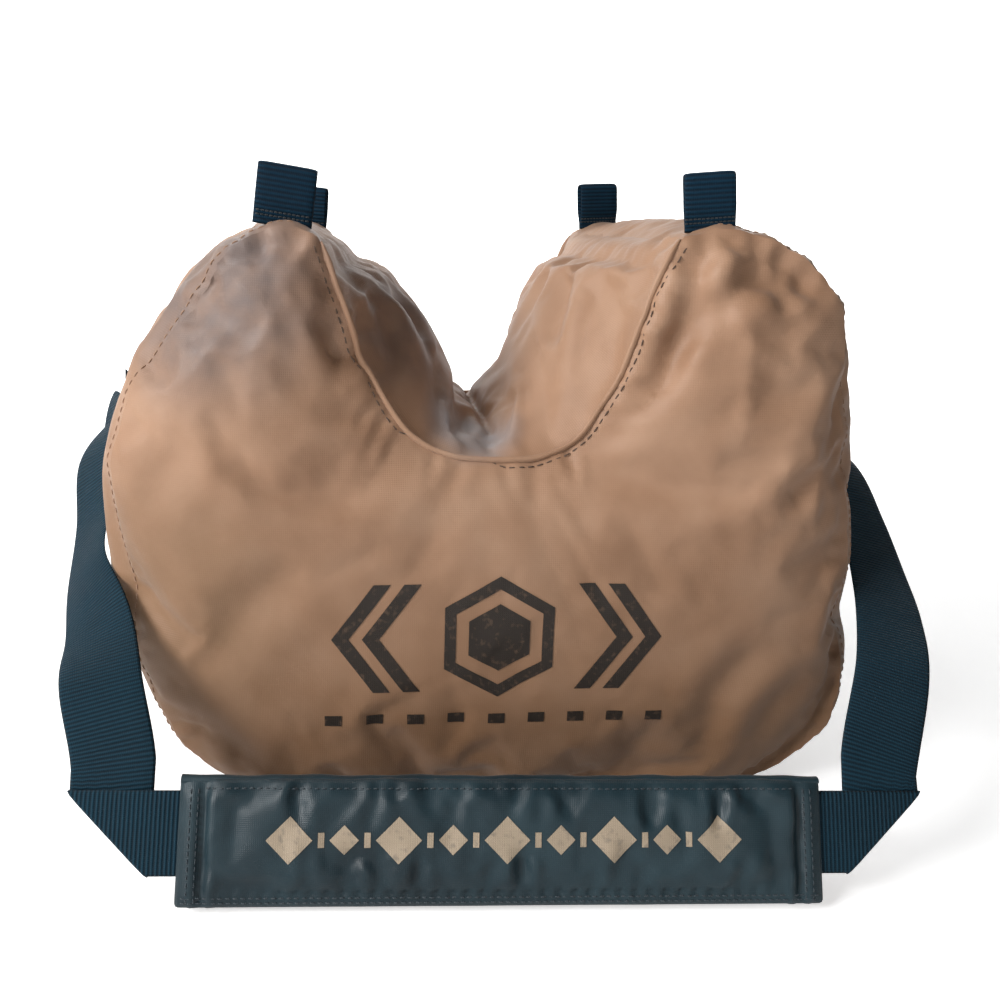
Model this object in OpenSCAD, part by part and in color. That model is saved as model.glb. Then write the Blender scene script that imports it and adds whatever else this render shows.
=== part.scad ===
// Saddle-shaped camera support bag with tie loops, a carrying strap and a wrap-around pad.
// Millimetres. The origin is the middle of the flat base; the front faces -Y and Z is up.

/* [Bag] */
// Half of the distance between the front and back seams
seam_half_depth = 105; // [95:1:115]
// How far the middle of the front and back panels stands out from their seams
panel_bulge = 21; // [14:1:24]
// How far each side panel swells between its seams
side_bulge = 14; // [8:1:15]
// How far the two inner walls of the valley swell
wall_bulge = 40; // [30:1:42]
// How far the valley floor swells
valley_bulge = 8; // [4:1:12]
// Rise of the crown of each horn tip
tip_crown = 4; // [2:1:6]
// Thickness of the cover cloth
cloth = 0.8; // [0.6:0.1:1]
// Thickness of the inner liner's cloth
liner = 0.6; // [0.5:0.1:0.8]
// Radius of the rolled lip along each valley seam
welt_r = 2; // [1.5:0.1:2.5]
// How far the rear of the right horn has slumped in towards the valley
horn_slump = 18; // [0:1:20]

/* [Webbing] */
// Width of the carrying strap
strap_w = 40; // [36:1:42]
// Thickness of the carrying strap
strap_t = 1.6; // [1.4:0.1:1.8]
// Width of the webbing of the tie loops
loop_w = 30; // [25:1:32]
// Height of a tie loop above its sewn end
loop_h = 31; // [28:1:34]
// Thickness of the webbing of the tie loops
loop_t = 1.5; // [1.2:0.1:1.6]

/* [Shoulder pad] */
// Width of the pad
pad_w = 316; // [300:2:324]
// Height of the pad when it is closed
pad_h = 60; // [58:1:64]
// Thickness of each half of the pad
pad_t = 8; // [6:0.5:9]
// Lean of the pad towards the bag, in degrees
pad_lean = 24; // [18:1:26]
// Turn of the pad, its right end away from the bag, in degrees
pad_turn = 3.5; // [0:0.5:5]

/* [Refill zip] */
// Length of the zip tapes
zip_l = 190; // [160:2:196]
// Width of each tape
zip_tape_w = 11; // [9:0.5:12]

/* [Hidden] */

tan_cloth = [0.66, 0.52, 0.43];
liner_cloth = [0.86, 0.85, 0.80];
bead_white = [0.95, 0.95, 0.93];
black_webbing = [0.07, 0.08, 0.10];
slate_nylon = [0.18, 0.25, 0.30];
foam_grey = [0.45, 0.47, 0.50];
zip_black = [0.10, 0.10, 0.11];
zip_metal = [0.55, 0.56, 0.58];

ROWS = 22;         // steps along half of the bag, from the middle to a horn tip
BASE_ROWS = 4;     // of these, the steps that lie in the flat base
COLS = 8;          // steps across each panel
SLIP = 0.3;        // gap between pieces that move against each other
NEST = 0.2;        // gap between nested layers of cloth

// Half of the outer seam, from the middle of the base to the outer corner of a horn tip.
outer_seam = [
    [0, 0], [64, 0], [122, 0], [158, 13], [183, 44], [199, 86], [204, 130],
    [203, 173], [198, 212], [188, 248], [171, 281], [152, 303], [134, 314]
];
// Half of the inner seam, from the valley's lowest point to the inner corner of a horn tip.
inner_seam = [
    [0, 194], [23, 197], [42, 209], [56, 228], [69, 253], [79, 279], [87, 300], [94, 314]
];

// ---- Small vector helpers ----
function unit(v) = v / norm(v);
function mirror_x(p, side) = [side * p[0], p[1], p[2]];
function blend(a, b, s) = a * (1 - s) + b * s;
// Rises smoothly from 0 to 1 as s does.
function ramp(s) = let (t = max(0, min(1, s))) t * t * (3 - 2 * t);

// A Catmull-Rom curve through the points, at s from 0 to 1. Both ends run level or straight on.
function curve_at(pts, s) = let (
        last = len(pts) - 1,
        i = min(floor(s * last), last - 1),
        f = s * last - i,
        p1 = pts[i],
        p2 = pts[i + 1],
        p0 = i > 0 ? pts[i - 1] : mirrored_start(p2, p1),
        p3 = i + 2 <= last ? pts[i + 2] : 2 * p2 - p1
    )
    0.5 * (2 * p1 + (p2 - p0) * f + (2 * p0 - 5 * p1 + 4 * p2 - p3) * f * f
        + (3 * p1 - p0 - 3 * p2 + p3) * f * f * f);
// The point before the first one, mirrored across X = 0, so that the two halves join smoothly.
function mirrored_start(next, first) = len(first) == 2 ? [-next[0], next[1]] : 2 * first - next;

// ---- The bag's surface ----
// a runs from 0, in the middle, to 1, at a horn tip. All seam points are [x, z] on the right.
function outer_at(a) = let (p = curve_at(outer_seam, a)) [p[0], max(0, p[1])];
function inner_at(a) = curve_at(inner_seam, a);
// The middle of the stuffing, which every layer is offset towards. It stops short of the tip.
function core_at(a) = let (b = min(a, 0.88)) (outer_at(b) + inner_at(b)) / 2;
function core3(a) = let (c = core_at(a)) [c[0], 0, c[1]];

// Swelling of the side panel: none on the flat base, all of it by 90 mm up, little at the tip.
function side_swell(a) = side_bulge * ramp(outer_at(a)[1] / 90) * (1 - 0.6 * pow(a, 8));
// Swelling of the saddle panel: a little on the valley floor, most half way up each wall.
function wall_swell(a) = valley_bulge * (1 - a) + (wall_bulge - valley_bulge / 2) * pow(sin(180 * a), 0.8);
// How much of its swelling a strip has, at v from -1, the front seam, to 1, the back seam.
function strip_shape(v) = 1 - pow(abs(v), 2.5);

function in3(p, v, up) = [p[0] + up[0], v * seam_half_depth, p[1] + up[1]];
function side_push(a) = unit(outer_at(a) - core_at(a)) * side_swell(a);
function wall_push(a) = unit(inner_at(a) - core_at(a)) * wall_swell(a);
function crown(t) = 4 * t * (1 - t);

function side_point(a, v) = in3(outer_at(a), v, side_push(a) * strip_shape(v));
function wall_point(a, v) = in3(inner_at(a), v, wall_push(a) * strip_shape(v));
// The strip over a horn tip, from its outer corner at t = 0 to its inner corner at t = 1.
function tip_point(t, v) = in3(
    blend(outer_at(1), inner_at(1), t) + [0, tip_crown * crown(t)], v,
    (blend(side_push(1), wall_push(1), t) + [0, tip_crown * crown(t)]) * strip_shape(v));
// The front or back panel, from the outer seam at t = 0 to the inner seam at t = 1.
function face_point(a, t, back) = let (
        p = blend(outer_at(a), inner_at(a), t) + [0, tip_crown * crown(t) * pow(a, 8)],
        out = seam_half_depth + panel_bulge * (1 - pow(abs(2 * t - 1), 3)) * (1 - pow(a, 5))
    )
    [p[0], back ? out : -out, p[1]];

// A point moved by depth towards the core, on either side of the bag.
function sink(p, a, depth) = p + unit(core3(a) - p) * depth;
// How far a point of the right horn has slumped inwards, from none at the valley's floor.
valley_z = inner_seam[0][1];
tip_z = inner_seam[len(inner_seam) - 1][1];
function slump(y, z) = horn_slump * ramp((z - valley_z - 6) / (tip_z - valley_z - 6))
    * ramp(y / seam_half_depth / 2 + 0.5);
function settled(p, side) = [side * p[0] - (side > 0 ? slump(p[1], p[2]) : 0), p[1], p[2]];
// r runs from -1, the left horn tip, to 1, the right one.
function side_of(r) = r < 0 ? -1 : 1;
function side_at(r, v, depth) = settled(sink(side_point(abs(r), v), abs(r), depth), side_of(r));
function wall_at(r, v, depth) = settled(sink(wall_point(abs(r), v), abs(r), depth), side_of(r));
function tip_at(side, t, v, depth) = settled(sink(tip_point(t, v), 1, depth), side);
function face_at(r, t, back, depth) =
    settled(sink(face_point(abs(r), t, back), abs(r), depth), side_of(r));

// ---- Grids of points, each a list of rows that runs round its panel the same way ----
function steps(lo, hi) = [for (i = [lo:hi]) i / ROWS];
function across() = [for (j = [0:COLS]) j / COLS];
function face_grid(back, depth) =
    [for (r = steps(-ROWS, ROWS)) [for (t = across()) face_at(r, t, back, depth)]];
function saddle_grid(depth) =
    [for (r = steps(-ROWS, ROWS)) [for (s = across()) wall_at(r, 2 * s - 1, depth)]];
function strip_grid(lo, hi, depth) =
    [for (r = steps(lo, hi)) [for (s = across()) side_at(r, 2 * s - 1, depth)]];
function tip_grid(side, depth) =
    [for (t = across()) [for (s = across()) tip_at(side, t, 2 * s - 1, depth)]];
function reversed(rows) = [for (i = [len(rows) - 1:-1:0]) rows[i]];
// From the base's edge, up the side and over the horn tip to its inner corner.
function tail(rows) = [for (i = [1:len(rows) - 1]) rows[i]];
function right_side_grid(depth) = concat(strip_grid(BASE_ROWS, ROWS, depth), tail(tip_grid(1, depth)));
function left_side_grid(depth) = reversed(concat(
    reversed(strip_grid(-ROWS, -BASE_ROWS, depth)), tail(tip_grid(-1, depth))));

// ---- Solids from grids ----
function flat(rows) = [for (row = rows) for (p = row) p];
// Two triangles for each cell of a grid with n rows of m points, starting at point number k.
function grid_faces(n, m, k, flip) = [
    for (i = [0:n - 2]) for (j = [0:m - 2])
        let (a = k + i * m + j, b = a + 1, c = a + m, d = c + 1)
            each (flip ? [[a, b, c], [b, d, c]] : [[a, c, b], [b, c, d]])
];
// The closed edge strip between two grids of n by m points, the second one straight after.
function rim_loop(n, m) = concat(
    [for (j = [0:m - 1]) j], [for (i = [1:n - 1]) i * m + m - 1],
    [for (j = [m - 2:-1:0]) (n - 1) * m + j], [for (i = [n - 2:-1:1]) i * m]);
function rim_faces(n, m, flip) = let (loop = rim_loop(n, m), count = len(loop), k = n * m) [
    for (i = [0:count - 1])
        let (a = loop[i], b = loop[(i + 1) % count])
            each (flip ? [[a, a + k, b], [b, a + k, b + k]] : [[a, b, a + k], [b, b + k, a + k]])
];
// A sheet of cloth between an outer and an inner grid of the same size.
module sheet(outer, inner, flip) {
    n = len(outer);
    m = len(outer[0]);
    polyhedron(
        points = concat(flat(outer), flat(inner)),
        faces = concat(grid_faces(n, m, 0, flip), grid_faces(n, m, n * m, !flip), rim_faces(n, m, flip)));
}
// One closed surface from grids, each given as [rows, flip].
function faces_from(grids, i, k) = i == len(grids) ? [] : let (rows = grids[i][0])
    concat(grid_faces(len(rows), len(rows[0]), k, grids[i][1]),
        faces_from(grids, i + 1, k + len(rows) * len(rows[0])));
module stuffed(depth) {
    grids = [
        [face_grid(false, depth), true], [face_grid(true, depth), false],
        [strip_grid(-ROWS, ROWS, depth), false], [saddle_grid(depth), true],
        [tip_grid(1, depth), false], [reversed(tip_grid(-1, depth)), false]
    ];
    polyhedron(points = [for (g = grids) each flat(g[0])], faces = faces_from(grids, 0, 0));
}

// ---- Cover ----
module cover_sheet(outer, inner, flip) {
    color(tan_cloth) sheet(outer, inner, flip);
}
module front_panel() { cover_sheet(face_grid(false, 0), face_grid(false, cloth), true); }
module back_panel() { cover_sheet(face_grid(true, 0), face_grid(true, cloth), false); }
module base_panel() {
    cover_sheet(strip_grid(-BASE_ROWS, BASE_ROWS, 0), strip_grid(-BASE_ROWS, BASE_ROWS, cloth), false);
}
module right_side_panel() { cover_sheet(right_side_grid(0), right_side_grid(cloth), false); }
module left_side_panel() { cover_sheet(left_side_grid(0), left_side_grid(cloth), false); }
module saddle_panel() { cover_sheet(saddle_grid(0), saddle_grid(cloth), true); }

// A rolled lip of cloth that lies against a valley seam, swept along it.
WELT_SIDES = 8;
function welt_ring(r, back) = let (
        rim = face_at(r, 1, back, 0),
        middle = face_at(r, 1, back, -welt_r - NEST / 4),
        along = unit(face_at(min(r + 0.02, 1), 1, back, 0) - face_at(max(r - 0.02, -1), 1, back, 0)),
        up = unit(middle - rim),
        side = cross(along, up)
    )
    [for (k = [0:WELT_SIDES - 1]) let (angle = 360 * k / WELT_SIDES)
        middle + welt_r * (cos(angle) * up + sin(angle) * side)];
module saddle_welt(back) {
    rings = [for (r = steps(1 - ROWS, ROWS - 1)) welt_ring(r, back)];
    color(tan_cloth) tube(rings);
}
// A closed tube through rings of points, each ring with the same number of points.
module tube(rings) {
    n = len(rings);
    m = len(rings[0]);
    sides = [
        for (i = [0:n - 2]) for (j = [0:m - 1])
            let (a = i * m + j, b = i * m + (j + 1) % m, c = a + m, d = b + m)
                each [[a, c, b], [b, c, d]]
    ];
    first = [for (j = [0:m - 1]) j];
    last = [for (j = [m - 1:-1:0]) (n - 1) * m + j];
    polyhedron(points = flat(rings), faces = concat(sides, [first, last]));
}
module front_saddle_welt() { saddle_welt(false); }
module back_saddle_welt() { saddle_welt(true); }

// ---- Inside ----
module inner_liner() {
    color(liner_cloth) difference() {
        stuffed(cloth + NEST);
        stuffed(cloth + NEST + liner);
    }
}
module bead_fill() { color(bead_white) stuffed(cloth + 2 * NEST + liner); }

// ---- Strap anchors: patches sewn to the side panels under the ends of the strap ----
PATCH_ROWS = [13, 15];   // rows of the side panel that a patch covers
PATCH_COLS = [3, 5];     // columns of it
patch_t = 1.2;
function patch_rows(side) =
    side > 0 ? [PATCH_ROWS[0]:PATCH_ROWS[1]] : [-PATCH_ROWS[1]:-PATCH_ROWS[0]];
function patch_grid(side, depth) = [
    for (i = patch_rows(side)) [
        for (j = [PATCH_COLS[0]:PATCH_COLS[1]]) side_at(i / ROWS, 2 * j / COLS - 1, depth)
    ]
];
module strap_anchor(side) {
    color(black_webbing) sheet(patch_grid(side, -patch_t), patch_grid(side, 0), false);
}
module strap_anchor_left() { strap_anchor(-1); }
module strap_anchor_right() { strap_anchor(1); }

// ---- Tie loops ----
loop_x = 110;
loop_y = 97;
loop_foot_r = loop_t + 0.2;
loop_half = 4.3;        // half of a loop's outer width, front to back
loop_gap_z = 5.5;       // height at which the two plies part
loop_swell_z = 10;      // height by which they stand furthest apart
// The highest point of the horn tip under a loop's foot.
loop_seat = max([for (t = [0:0.1:1]) for (y = [loop_y - loop_foot_r, loop_y + loop_foot_r])
    tip_point(t, y / seam_half_depth)[2]]);
loop_z = loop_seat + loop_foot_r + SLIP;
// Half of the loop's outer width at height z above its foot.
function loop_edge(z) = let (s = min(1, z / loop_swell_z))
    loop_foot_r + (loop_half - loop_foot_r) * s * s * (3 - 2 * s);
loop_levels = [0, 2, 4, 6, 8, 10];
top_z = loop_h - loop_half;
module loop_outline(inset, from) {
    right = [for (z = loop_levels) if (z >= from) [loop_edge(z) - inset, z]];
    left = [for (p = reversed(right)) [-p[0], p[1]]];
    polygon(concat(right, [[loop_half - inset, top_z], [inset - loop_half, top_z]], left));
    translate([0, top_z]) circle(r = loop_half - inset, $fn = 48);
}
module tie_loop(side, rear) {
    color(black_webbing)
        translate([side * loop_x - (side > 0 ? slump(rear * loop_y, loop_z) : 0), rear * loop_y, loop_z])
            rotate([90, 0, 90])
                translate([0, 0, -loop_w / 2])
                    linear_extrude(loop_w) {
                        difference() {
                            loop_outline(0, 0);
                            loop_outline(loop_t, loop_gap_z);
                        }
                        circle(r = loop_foot_r, $fn = 48);
                    }
}
module tie_loop_front_left() { tie_loop(-1, -1); }
module tie_loop_front_right() { tie_loop(1, -1); }
module tie_loop_rear_left() { tie_loop(-1, 1); }
module tie_loop_rear_right() { tie_loop(1, 1); }

// ---- Shoulder pad, in its own frame: x along it, depth d towards the bag, height h ----
pad_foot_y = -208;
pad_foot_z = 3.6;
layer = strap_t / 2 + NEST;     // depth of each layer of webbing from the fold's middle
run_back = -layer + strap_t / 2;
run_front = -layer - strap_t / 2;
pad_back_d = run_back + 0.35;
pad_front_d = run_front - 0.35;
function leaned(x, d, h) = let (y = d * cos(pad_lean) + h * sin(pad_lean)) [
    x * cos(pad_turn) + y * sin(pad_turn),
    pad_foot_y - x * sin(pad_turn) + y * cos(pad_turn),
    pad_foot_z - d * sin(pad_lean) + h * cos(pad_lean)
];
module in_pad_frame() {
    translate([0, pad_foot_y, pad_foot_z])
        rotate([0, 0, -pad_turn])
            rotate([-pad_lean, 0, 0])
                children();
}

// ---- Carrying strap: webbing along rings of [inner edge, outer edge, outward normal] ----
fold_h = 14;                      // height of the webbing's lower edge inside the pad
fold_x = pad_w / 2 + 13;          // where the inner edge of each leg meets the fold
// The middle of the right leg, from its sewn end down to just above the corner fold.
leg_route = [
    [219, 16, 222], [220, 2, 198], [224, -14, 171], [228, -37, 143], [229, -67, 121],
    [225, -102, 107], [209, -146, 94]
];
// How far the leg has turned from lying against the bag's side, at 0, to facing front, at 90.
leg_turns = [0, 0, 0, 6, 20, 38, 64, 90, 90];
LEG_STEPS = 21;
// The last point, in the middle of the fold, only steers the leg, which stops one point short.
LEG_END = len(leg_route) / (len(leg_route) + 1);
function leg_points(side) = concat([for (p = leg_route) mirror_x(p, side)],
    [for (h = [strap_w + 12, strap_w / 2]) leaned(side * (fold_x + strap_w / 2), layer, fold_h + h)]);
function leg_ring(s, side) = let (
        points = leg_points(side),
        here = curve_at(points, s),
        rise = unit(curve_at(points, max(0, s - 0.02)) - curve_at(points, min(1, s + 0.02))),
        turn = curve_at([for (t = leg_turns) [t, 0, 0]], s)[0],
        out = [side, 0, 0],
        raw = sin(turn) * out - cos(turn) * side * unit(cross(out, rise)),
        wide = unit(raw - (raw * rise) * rise)
    )
    [here - wide * strap_w / 2, here + wide * strap_w / 2, side * cross(rise, wide)];
pad_back_way = leaned(0, 1, 0) - leaned(0, 0, 0);
function fold_way(side) = unit(leaned(side, 0, -1) - leaned(0, 0, 0));
function fold_ring(side, d, out, normal) = [
    leaned(side * fold_x, d, fold_h) + out * fold_way(side),
    leaned(side * (fold_x + strap_w), d, fold_h + strap_w) + out * fold_way(side), normal
];
function run_ring(x) = [leaned(x, -layer, fold_h), leaned(x, -layer, fold_h + strap_w), -pad_back_way];
function half_strap(side) = concat(
    [for (i = [0:LEG_STEPS]) leg_ring(LEG_END * i / LEG_STEPS, side)],
    [fold_ring(side, layer, 0, pad_back_way)],
    [fold_ring(side, 0, layer, fold_way(side))],
    [fold_ring(side, -layer, 0, -pad_back_way)],
    [run_ring(side * (fold_x - 4))]);
function strap_face(rings, face) =
    [for (ring = rings) let (half = face * ring[2] * strap_t / 2) [ring[0] + half, ring[1] + half]];
module shoulder_strap() {
    rings = concat(half_strap(1), [run_ring(0)], reversed(half_strap(-1)));
    color(black_webbing) sheet(strap_face(rings, 1), strap_face(rings, -1), false);
}

// One half of the pad: a slab with rounded edges, standing on its long edge.
pad_edge_r = 3;
module pad_slab(d, thick, low, high, half_w, edge_r) {
    translate([-half_w, 0, 0])
        rotate([90, 0, 90])
            linear_extrude(2 * half_w)
                translate([d, low])
                    rounded_rect(thick, high - low, edge_r);
}
module rounded_rect(w, h, r) {
    translate([r, 0]) square([w - 2 * r, h]);
    translate([0, r]) square([w, h - 2 * r]);
    for (x = [r, w - r]) for (y = [r, h - r]) translate([x, y]) circle(r = r, $fn = 32);
}
pad_skin = 0.8;
module pad_cover(d) {
    color(slate_nylon) in_pad_frame() difference() {
        pad_slab(d, pad_t, 0, pad_h, pad_w / 2, pad_edge_r);
        pad_slab(d + pad_skin, pad_t - 2 * pad_skin, pad_skin, pad_h - pad_skin,
            pad_w / 2 - pad_skin, pad_edge_r - pad_skin);
    }
}
module pad_foam(d) {
    color(foam_grey) in_pad_frame()
        pad_slab(d + pad_skin, pad_t - 2 * pad_skin, pad_skin, pad_h - pad_skin,
            pad_w / 2 - pad_skin, pad_edge_r - pad_skin);
}
module pad_back_cover() { pad_cover(pad_back_d); }
module pad_back_foam() { pad_foam(pad_back_d); }
module pad_front_cover() { pad_cover(pad_front_d - pad_t); }
module pad_front_foam() { pad_foam(pad_front_d - pad_t); }

// Hook and loop tapes on the inner faces, below the webbing.
closure_low = 3.5;
closure_w = 8;
closure_gap = pad_back_d - pad_front_d;
closure_t = (closure_gap - SLIP) / 2;
module closure_tape(d) {
    color(zip_black) in_pad_frame()
        translate([-pad_w / 2 + 12, d, closure_low]) cube([pad_w - 24, closure_t, closure_w]);
}
module pad_hook_tape() { closure_tape(pad_back_d - closure_t); }
module pad_loop_tape() { closure_tape(pad_front_d); }

// ---- Refill zip, on the flat middle of the back panel ----
zip_y = seam_half_depth + panel_bulge + 0.1;
zip_z = 98;
zip_tape_t = 0.6;
teeth_w = 4;
teeth_t = 1.6;
tooth_pitch = 2.5;
tooth_w = 1.7;
slider_l = 11;
slider_w = 9;
slider_start = -zip_l / 2 + 12;
teeth_from = -zip_l / 2 + 8;
teeth_to = zip_l / 2 - 8;
plate_y = zip_y + zip_tape_t + teeth_t + SLIP;
module zip_tape(low) {
    color(zip_black) translate([-zip_l / 2, zip_y, low]) cube([zip_l, zip_tape_t, zip_tape_w]);
}
module zip_tape_upper() { zip_tape(zip_z); }
module zip_tape_lower() { zip_tape(zip_z - zip_tape_w); }
// Teeth that reach past the middle from each tape in turn.
module zip_teeth() {
    color(zip_black)
        for (i = [0:floor((teeth_to - teeth_from) / tooth_pitch) - 1])
            let (up = i % 2 == 0)
                translate([teeth_from + i * tooth_pitch, zip_y + zip_tape_t,
                    zip_z - (up ? teeth_w / 4 : teeth_w * 3 / 4)])
                    cube([tooth_w, teeth_t, teeth_w]);
}
module zip_end_stops() {
    color(zip_metal)
        for (x = [teeth_from - 3, teeth_to + 1])
            translate([x, zip_y + zip_tape_t, zip_z - teeth_w])
                cube([1.8, teeth_t, 2 * teeth_w]);
}
plate_t = 1.2;
flange_t = 1;
lug_h = 3.2;
pull_pin_r = 0.6;
pull_x = slider_start + 2.4;
pull_y = plate_y + plate_t + 1.7;
// The slider's top plate, its two side flanges and the lugs that hold the pull's pin.
module zip_slider() {
    color(zip_metal) {
        translate([slider_start, plate_y, zip_z - slider_w / 2]) cube([slider_l, plate_t, slider_w]);
        for (z = [zip_z - slider_w / 2, zip_z + slider_w / 2 - flange_t])
            translate([slider_start, zip_y + zip_tape_t + SLIP, z])
                cube([slider_l, plate_y - zip_y - zip_tape_t - SLIP, flange_t]);
        for (z = [zip_z - 3.2, zip_z + 2.2])
            translate([slider_start + 1, plate_y + plate_t, z]) cube([2.8, lug_h, 1]);
        translate([pull_x, pull_y, zip_z - 3.2]) cylinder(r = pull_pin_r, h = 6.4, $fn = 32);
    }
}
pull_l = 24;
pull_w = 5;
pull_t = 1.2;
eye_h = 4.2;
eye_r = 1.3;
// The pull tab: a round eye on the slider's pin and a flat tab with a hole near its end.
module zip_pull() {
    color(zip_metal)
        translate([pull_x, pull_y, zip_z]) {
            difference() {
                union() {
                    translate([0, 0, -eye_h / 2]) cylinder(r = eye_r, h = eye_h, $fn = 48);
                    translate([0, -pull_t / 2, -eye_h / 2]) cube([4, pull_t, eye_h]);
                    translate([3.5, -pull_t / 2, -pull_w / 2]) cube([pull_l - 3.5, pull_t, pull_w]);
                }
                translate([0, 0, -eye_h]) cylinder(r = pull_pin_r + 0.08, h = 2 * eye_h, $fn = 48);
                translate([pull_l - 3.5, -pull_t, 0])
                    rotate([-90, 0, 0]) cylinder(r = 1.5, h = 2 * pull_t, $fn = 48);
            }
        }
}

front_panel();
back_panel();
base_panel();
left_side_panel();
right_side_panel();
saddle_panel();
front_saddle_welt();
back_saddle_welt();
inner_liner();
bead_fill();
strap_anchor_left();
strap_anchor_right();
zip_tape_upper();
zip_tape_lower();
zip_teeth();
zip_end_stops();
zip_slider();
zip_pull();
tie_loop_front_left();
tie_loop_front_right();
tie_loop_rear_left();
tie_loop_rear_right();
shoulder_strap();
pad_back_cover();
pad_back_foam();
pad_front_cover();
pad_front_foam();
pad_hook_tape();
pad_loop_tape();
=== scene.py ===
import math

import bmesh
import bpy
import numpy as np
from mathutils import Matrix, Vector
from mathutils.bvhtree import BVHTree
from mathutils.geometry import delaunay_2d_cdt
from mathutils.kdtree import KDTree


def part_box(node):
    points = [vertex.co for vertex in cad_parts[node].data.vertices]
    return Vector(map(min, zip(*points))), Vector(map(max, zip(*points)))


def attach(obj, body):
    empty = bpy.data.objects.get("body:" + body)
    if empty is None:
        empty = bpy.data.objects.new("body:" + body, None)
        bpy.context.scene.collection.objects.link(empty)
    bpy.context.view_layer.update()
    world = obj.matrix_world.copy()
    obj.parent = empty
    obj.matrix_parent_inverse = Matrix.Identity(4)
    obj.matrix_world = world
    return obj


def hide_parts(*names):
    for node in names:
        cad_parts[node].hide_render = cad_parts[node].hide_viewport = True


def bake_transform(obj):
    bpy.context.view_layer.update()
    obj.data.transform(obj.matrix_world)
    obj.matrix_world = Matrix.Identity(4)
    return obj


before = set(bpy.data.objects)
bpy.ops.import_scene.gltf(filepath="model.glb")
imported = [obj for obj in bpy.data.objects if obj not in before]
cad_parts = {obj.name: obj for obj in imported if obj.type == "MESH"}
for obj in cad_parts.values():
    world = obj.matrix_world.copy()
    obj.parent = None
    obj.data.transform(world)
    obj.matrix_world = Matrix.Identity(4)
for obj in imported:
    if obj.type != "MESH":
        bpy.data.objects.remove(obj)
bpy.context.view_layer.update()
scene = bpy.context.scene
MM = 0.001
rng = np.random.default_rng(11)


def place_object(name, data):
    """A new object that shows this mesh, light or camera in the scene."""
    made = bpy.data.objects.new(name, data)
    scene.collection.objects.link(made)
    return made


# ---- Camera ----
CAMERA_AT = (-0.068, -0.638, 0.322)
CAMERA_TURN = math.radians(-7.65)   # about +Z, positive to the left
CAMERA_DOWN = math.radians(14.78)
CAMERA_ROLL = math.radians(2.23)
CAMERA_LENS = 37.1
camera = place_object("camera", bpy.data.cameras.new("camera"))
camera.data.lens = CAMERA_LENS
camera.data.sensor_width = 36.0
camera.data.clip_start = 0.01
camera.matrix_world = (Matrix.Translation(CAMERA_AT) @ Matrix.Rotation(CAMERA_TURN, 4, "Z")
                       @ Matrix.Rotation(math.pi / 2 - CAMERA_DOWN, 4, "X")
                       @ Matrix.Rotation(CAMERA_ROLL, 4, "Z"))
scene.camera = camera
scene.view_settings.view_transform = "Standard"


# ---- Small helpers ----
def ramp(s):
    """Rises smoothly from 0 to 1 as s does."""
    s = np.clip(s, 0.0, 1.0)
    return s * s * (3 - 2 * s)


def unit(v):
    return v / np.maximum(np.linalg.norm(v, axis=-1, keepdims=True), 1e-9)


def lerp(a, b, t):
    return a * (1 - t) + b * t


def curve_at(points, s, before=None):
    """A Catmull-Rom curve through the points, at s from 0 to 1."""
    points = np.asarray(points, float)
    if before is None:
        before = 2 * points[0] - points[1]
    last = len(points) - 1
    s = np.clip(np.atleast_1d(np.asarray(s, float)), 0, 1)
    i = np.minimum((s * last).astype(int), last - 1)
    f = (s * last - i)[:, None]
    p = np.vstack([before, points, 2 * points[-1] - points[-2]])
    p0, p1, p2, p3 = p[i], p[i + 1], p[i + 2], p[i + 3]
    return 0.5 * (2 * p1 + (p2 - p0) * f + (2 * p0 - 5 * p1 + 4 * p2 - p3) * f**2
                  + (3 * p1 - p0 - 3 * p2 + p3) * f**3)


def corners_of(mesh):
    """The point that each corner of each face is at."""
    corner = np.zeros(len(mesh.loops), int)
    mesh.loops.foreach_get("vertex_index", corner)
    return corner


def flat_map(mesh):
    """Where each corner of each face is on the flat cloth, in metres."""
    uvs = np.zeros(len(mesh.loops) * 2)
    mesh.uv_layers["cloth"].data.foreach_get("uv", uvs)
    return uvs.reshape(-1, 2)


def mesh_object(name, verts_mm, faces, uvs=None):
    """An object from points in millimetres. uvs has one pair for each point."""
    mesh = bpy.data.meshes.new(name)
    mesh.from_pydata((np.asarray(verts_mm) * MM).tolist(), [], [list(map(int, f)) for f in faces])
    if uvs is not None:
        layer = mesh.uv_layers.new(name="cloth")
        layer.data.foreach_set("uv", np.asarray(uvs, np.float32)[corners_of(mesh)].ravel())
    mesh.update()
    return place_object(name, mesh)


def smooth(obj):
    obj.data.shade_smooth()
    return obj


def points_of(mesh):
    co = np.zeros(len(mesh.vertices) * 3)
    mesh.vertices.foreach_get("co", co)
    return co.reshape(-1, 3) / MM


def normals_of(mesh):
    n = np.zeros(len(mesh.vertices) * 3)
    mesh.vertices.foreach_get("normal", n)
    return n.reshape(-1, 3)


def put_points(mesh, points_mm):
    mesh.vertices.foreach_set("co", (points_mm * MM).astype(np.float32).ravel())
    mesh.update()


def apply_modifiers(obj):
    """Bakes every modifier into a new mesh."""
    bpy.context.view_layer.update()
    made = bpy.data.meshes.new_from_object(obj.evaluated_get(bpy.context.evaluated_depsgraph_get()))
    obj.modifiers.clear()
    obj.data = made
    return obj


def links_of(mesh):
    """Both ends of every edge, as an array of pairs."""
    e = np.zeros(len(mesh.edges) * 2, int)
    mesh.edges.foreach_get("vertices", e)
    return e.reshape(-1, 2)


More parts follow.
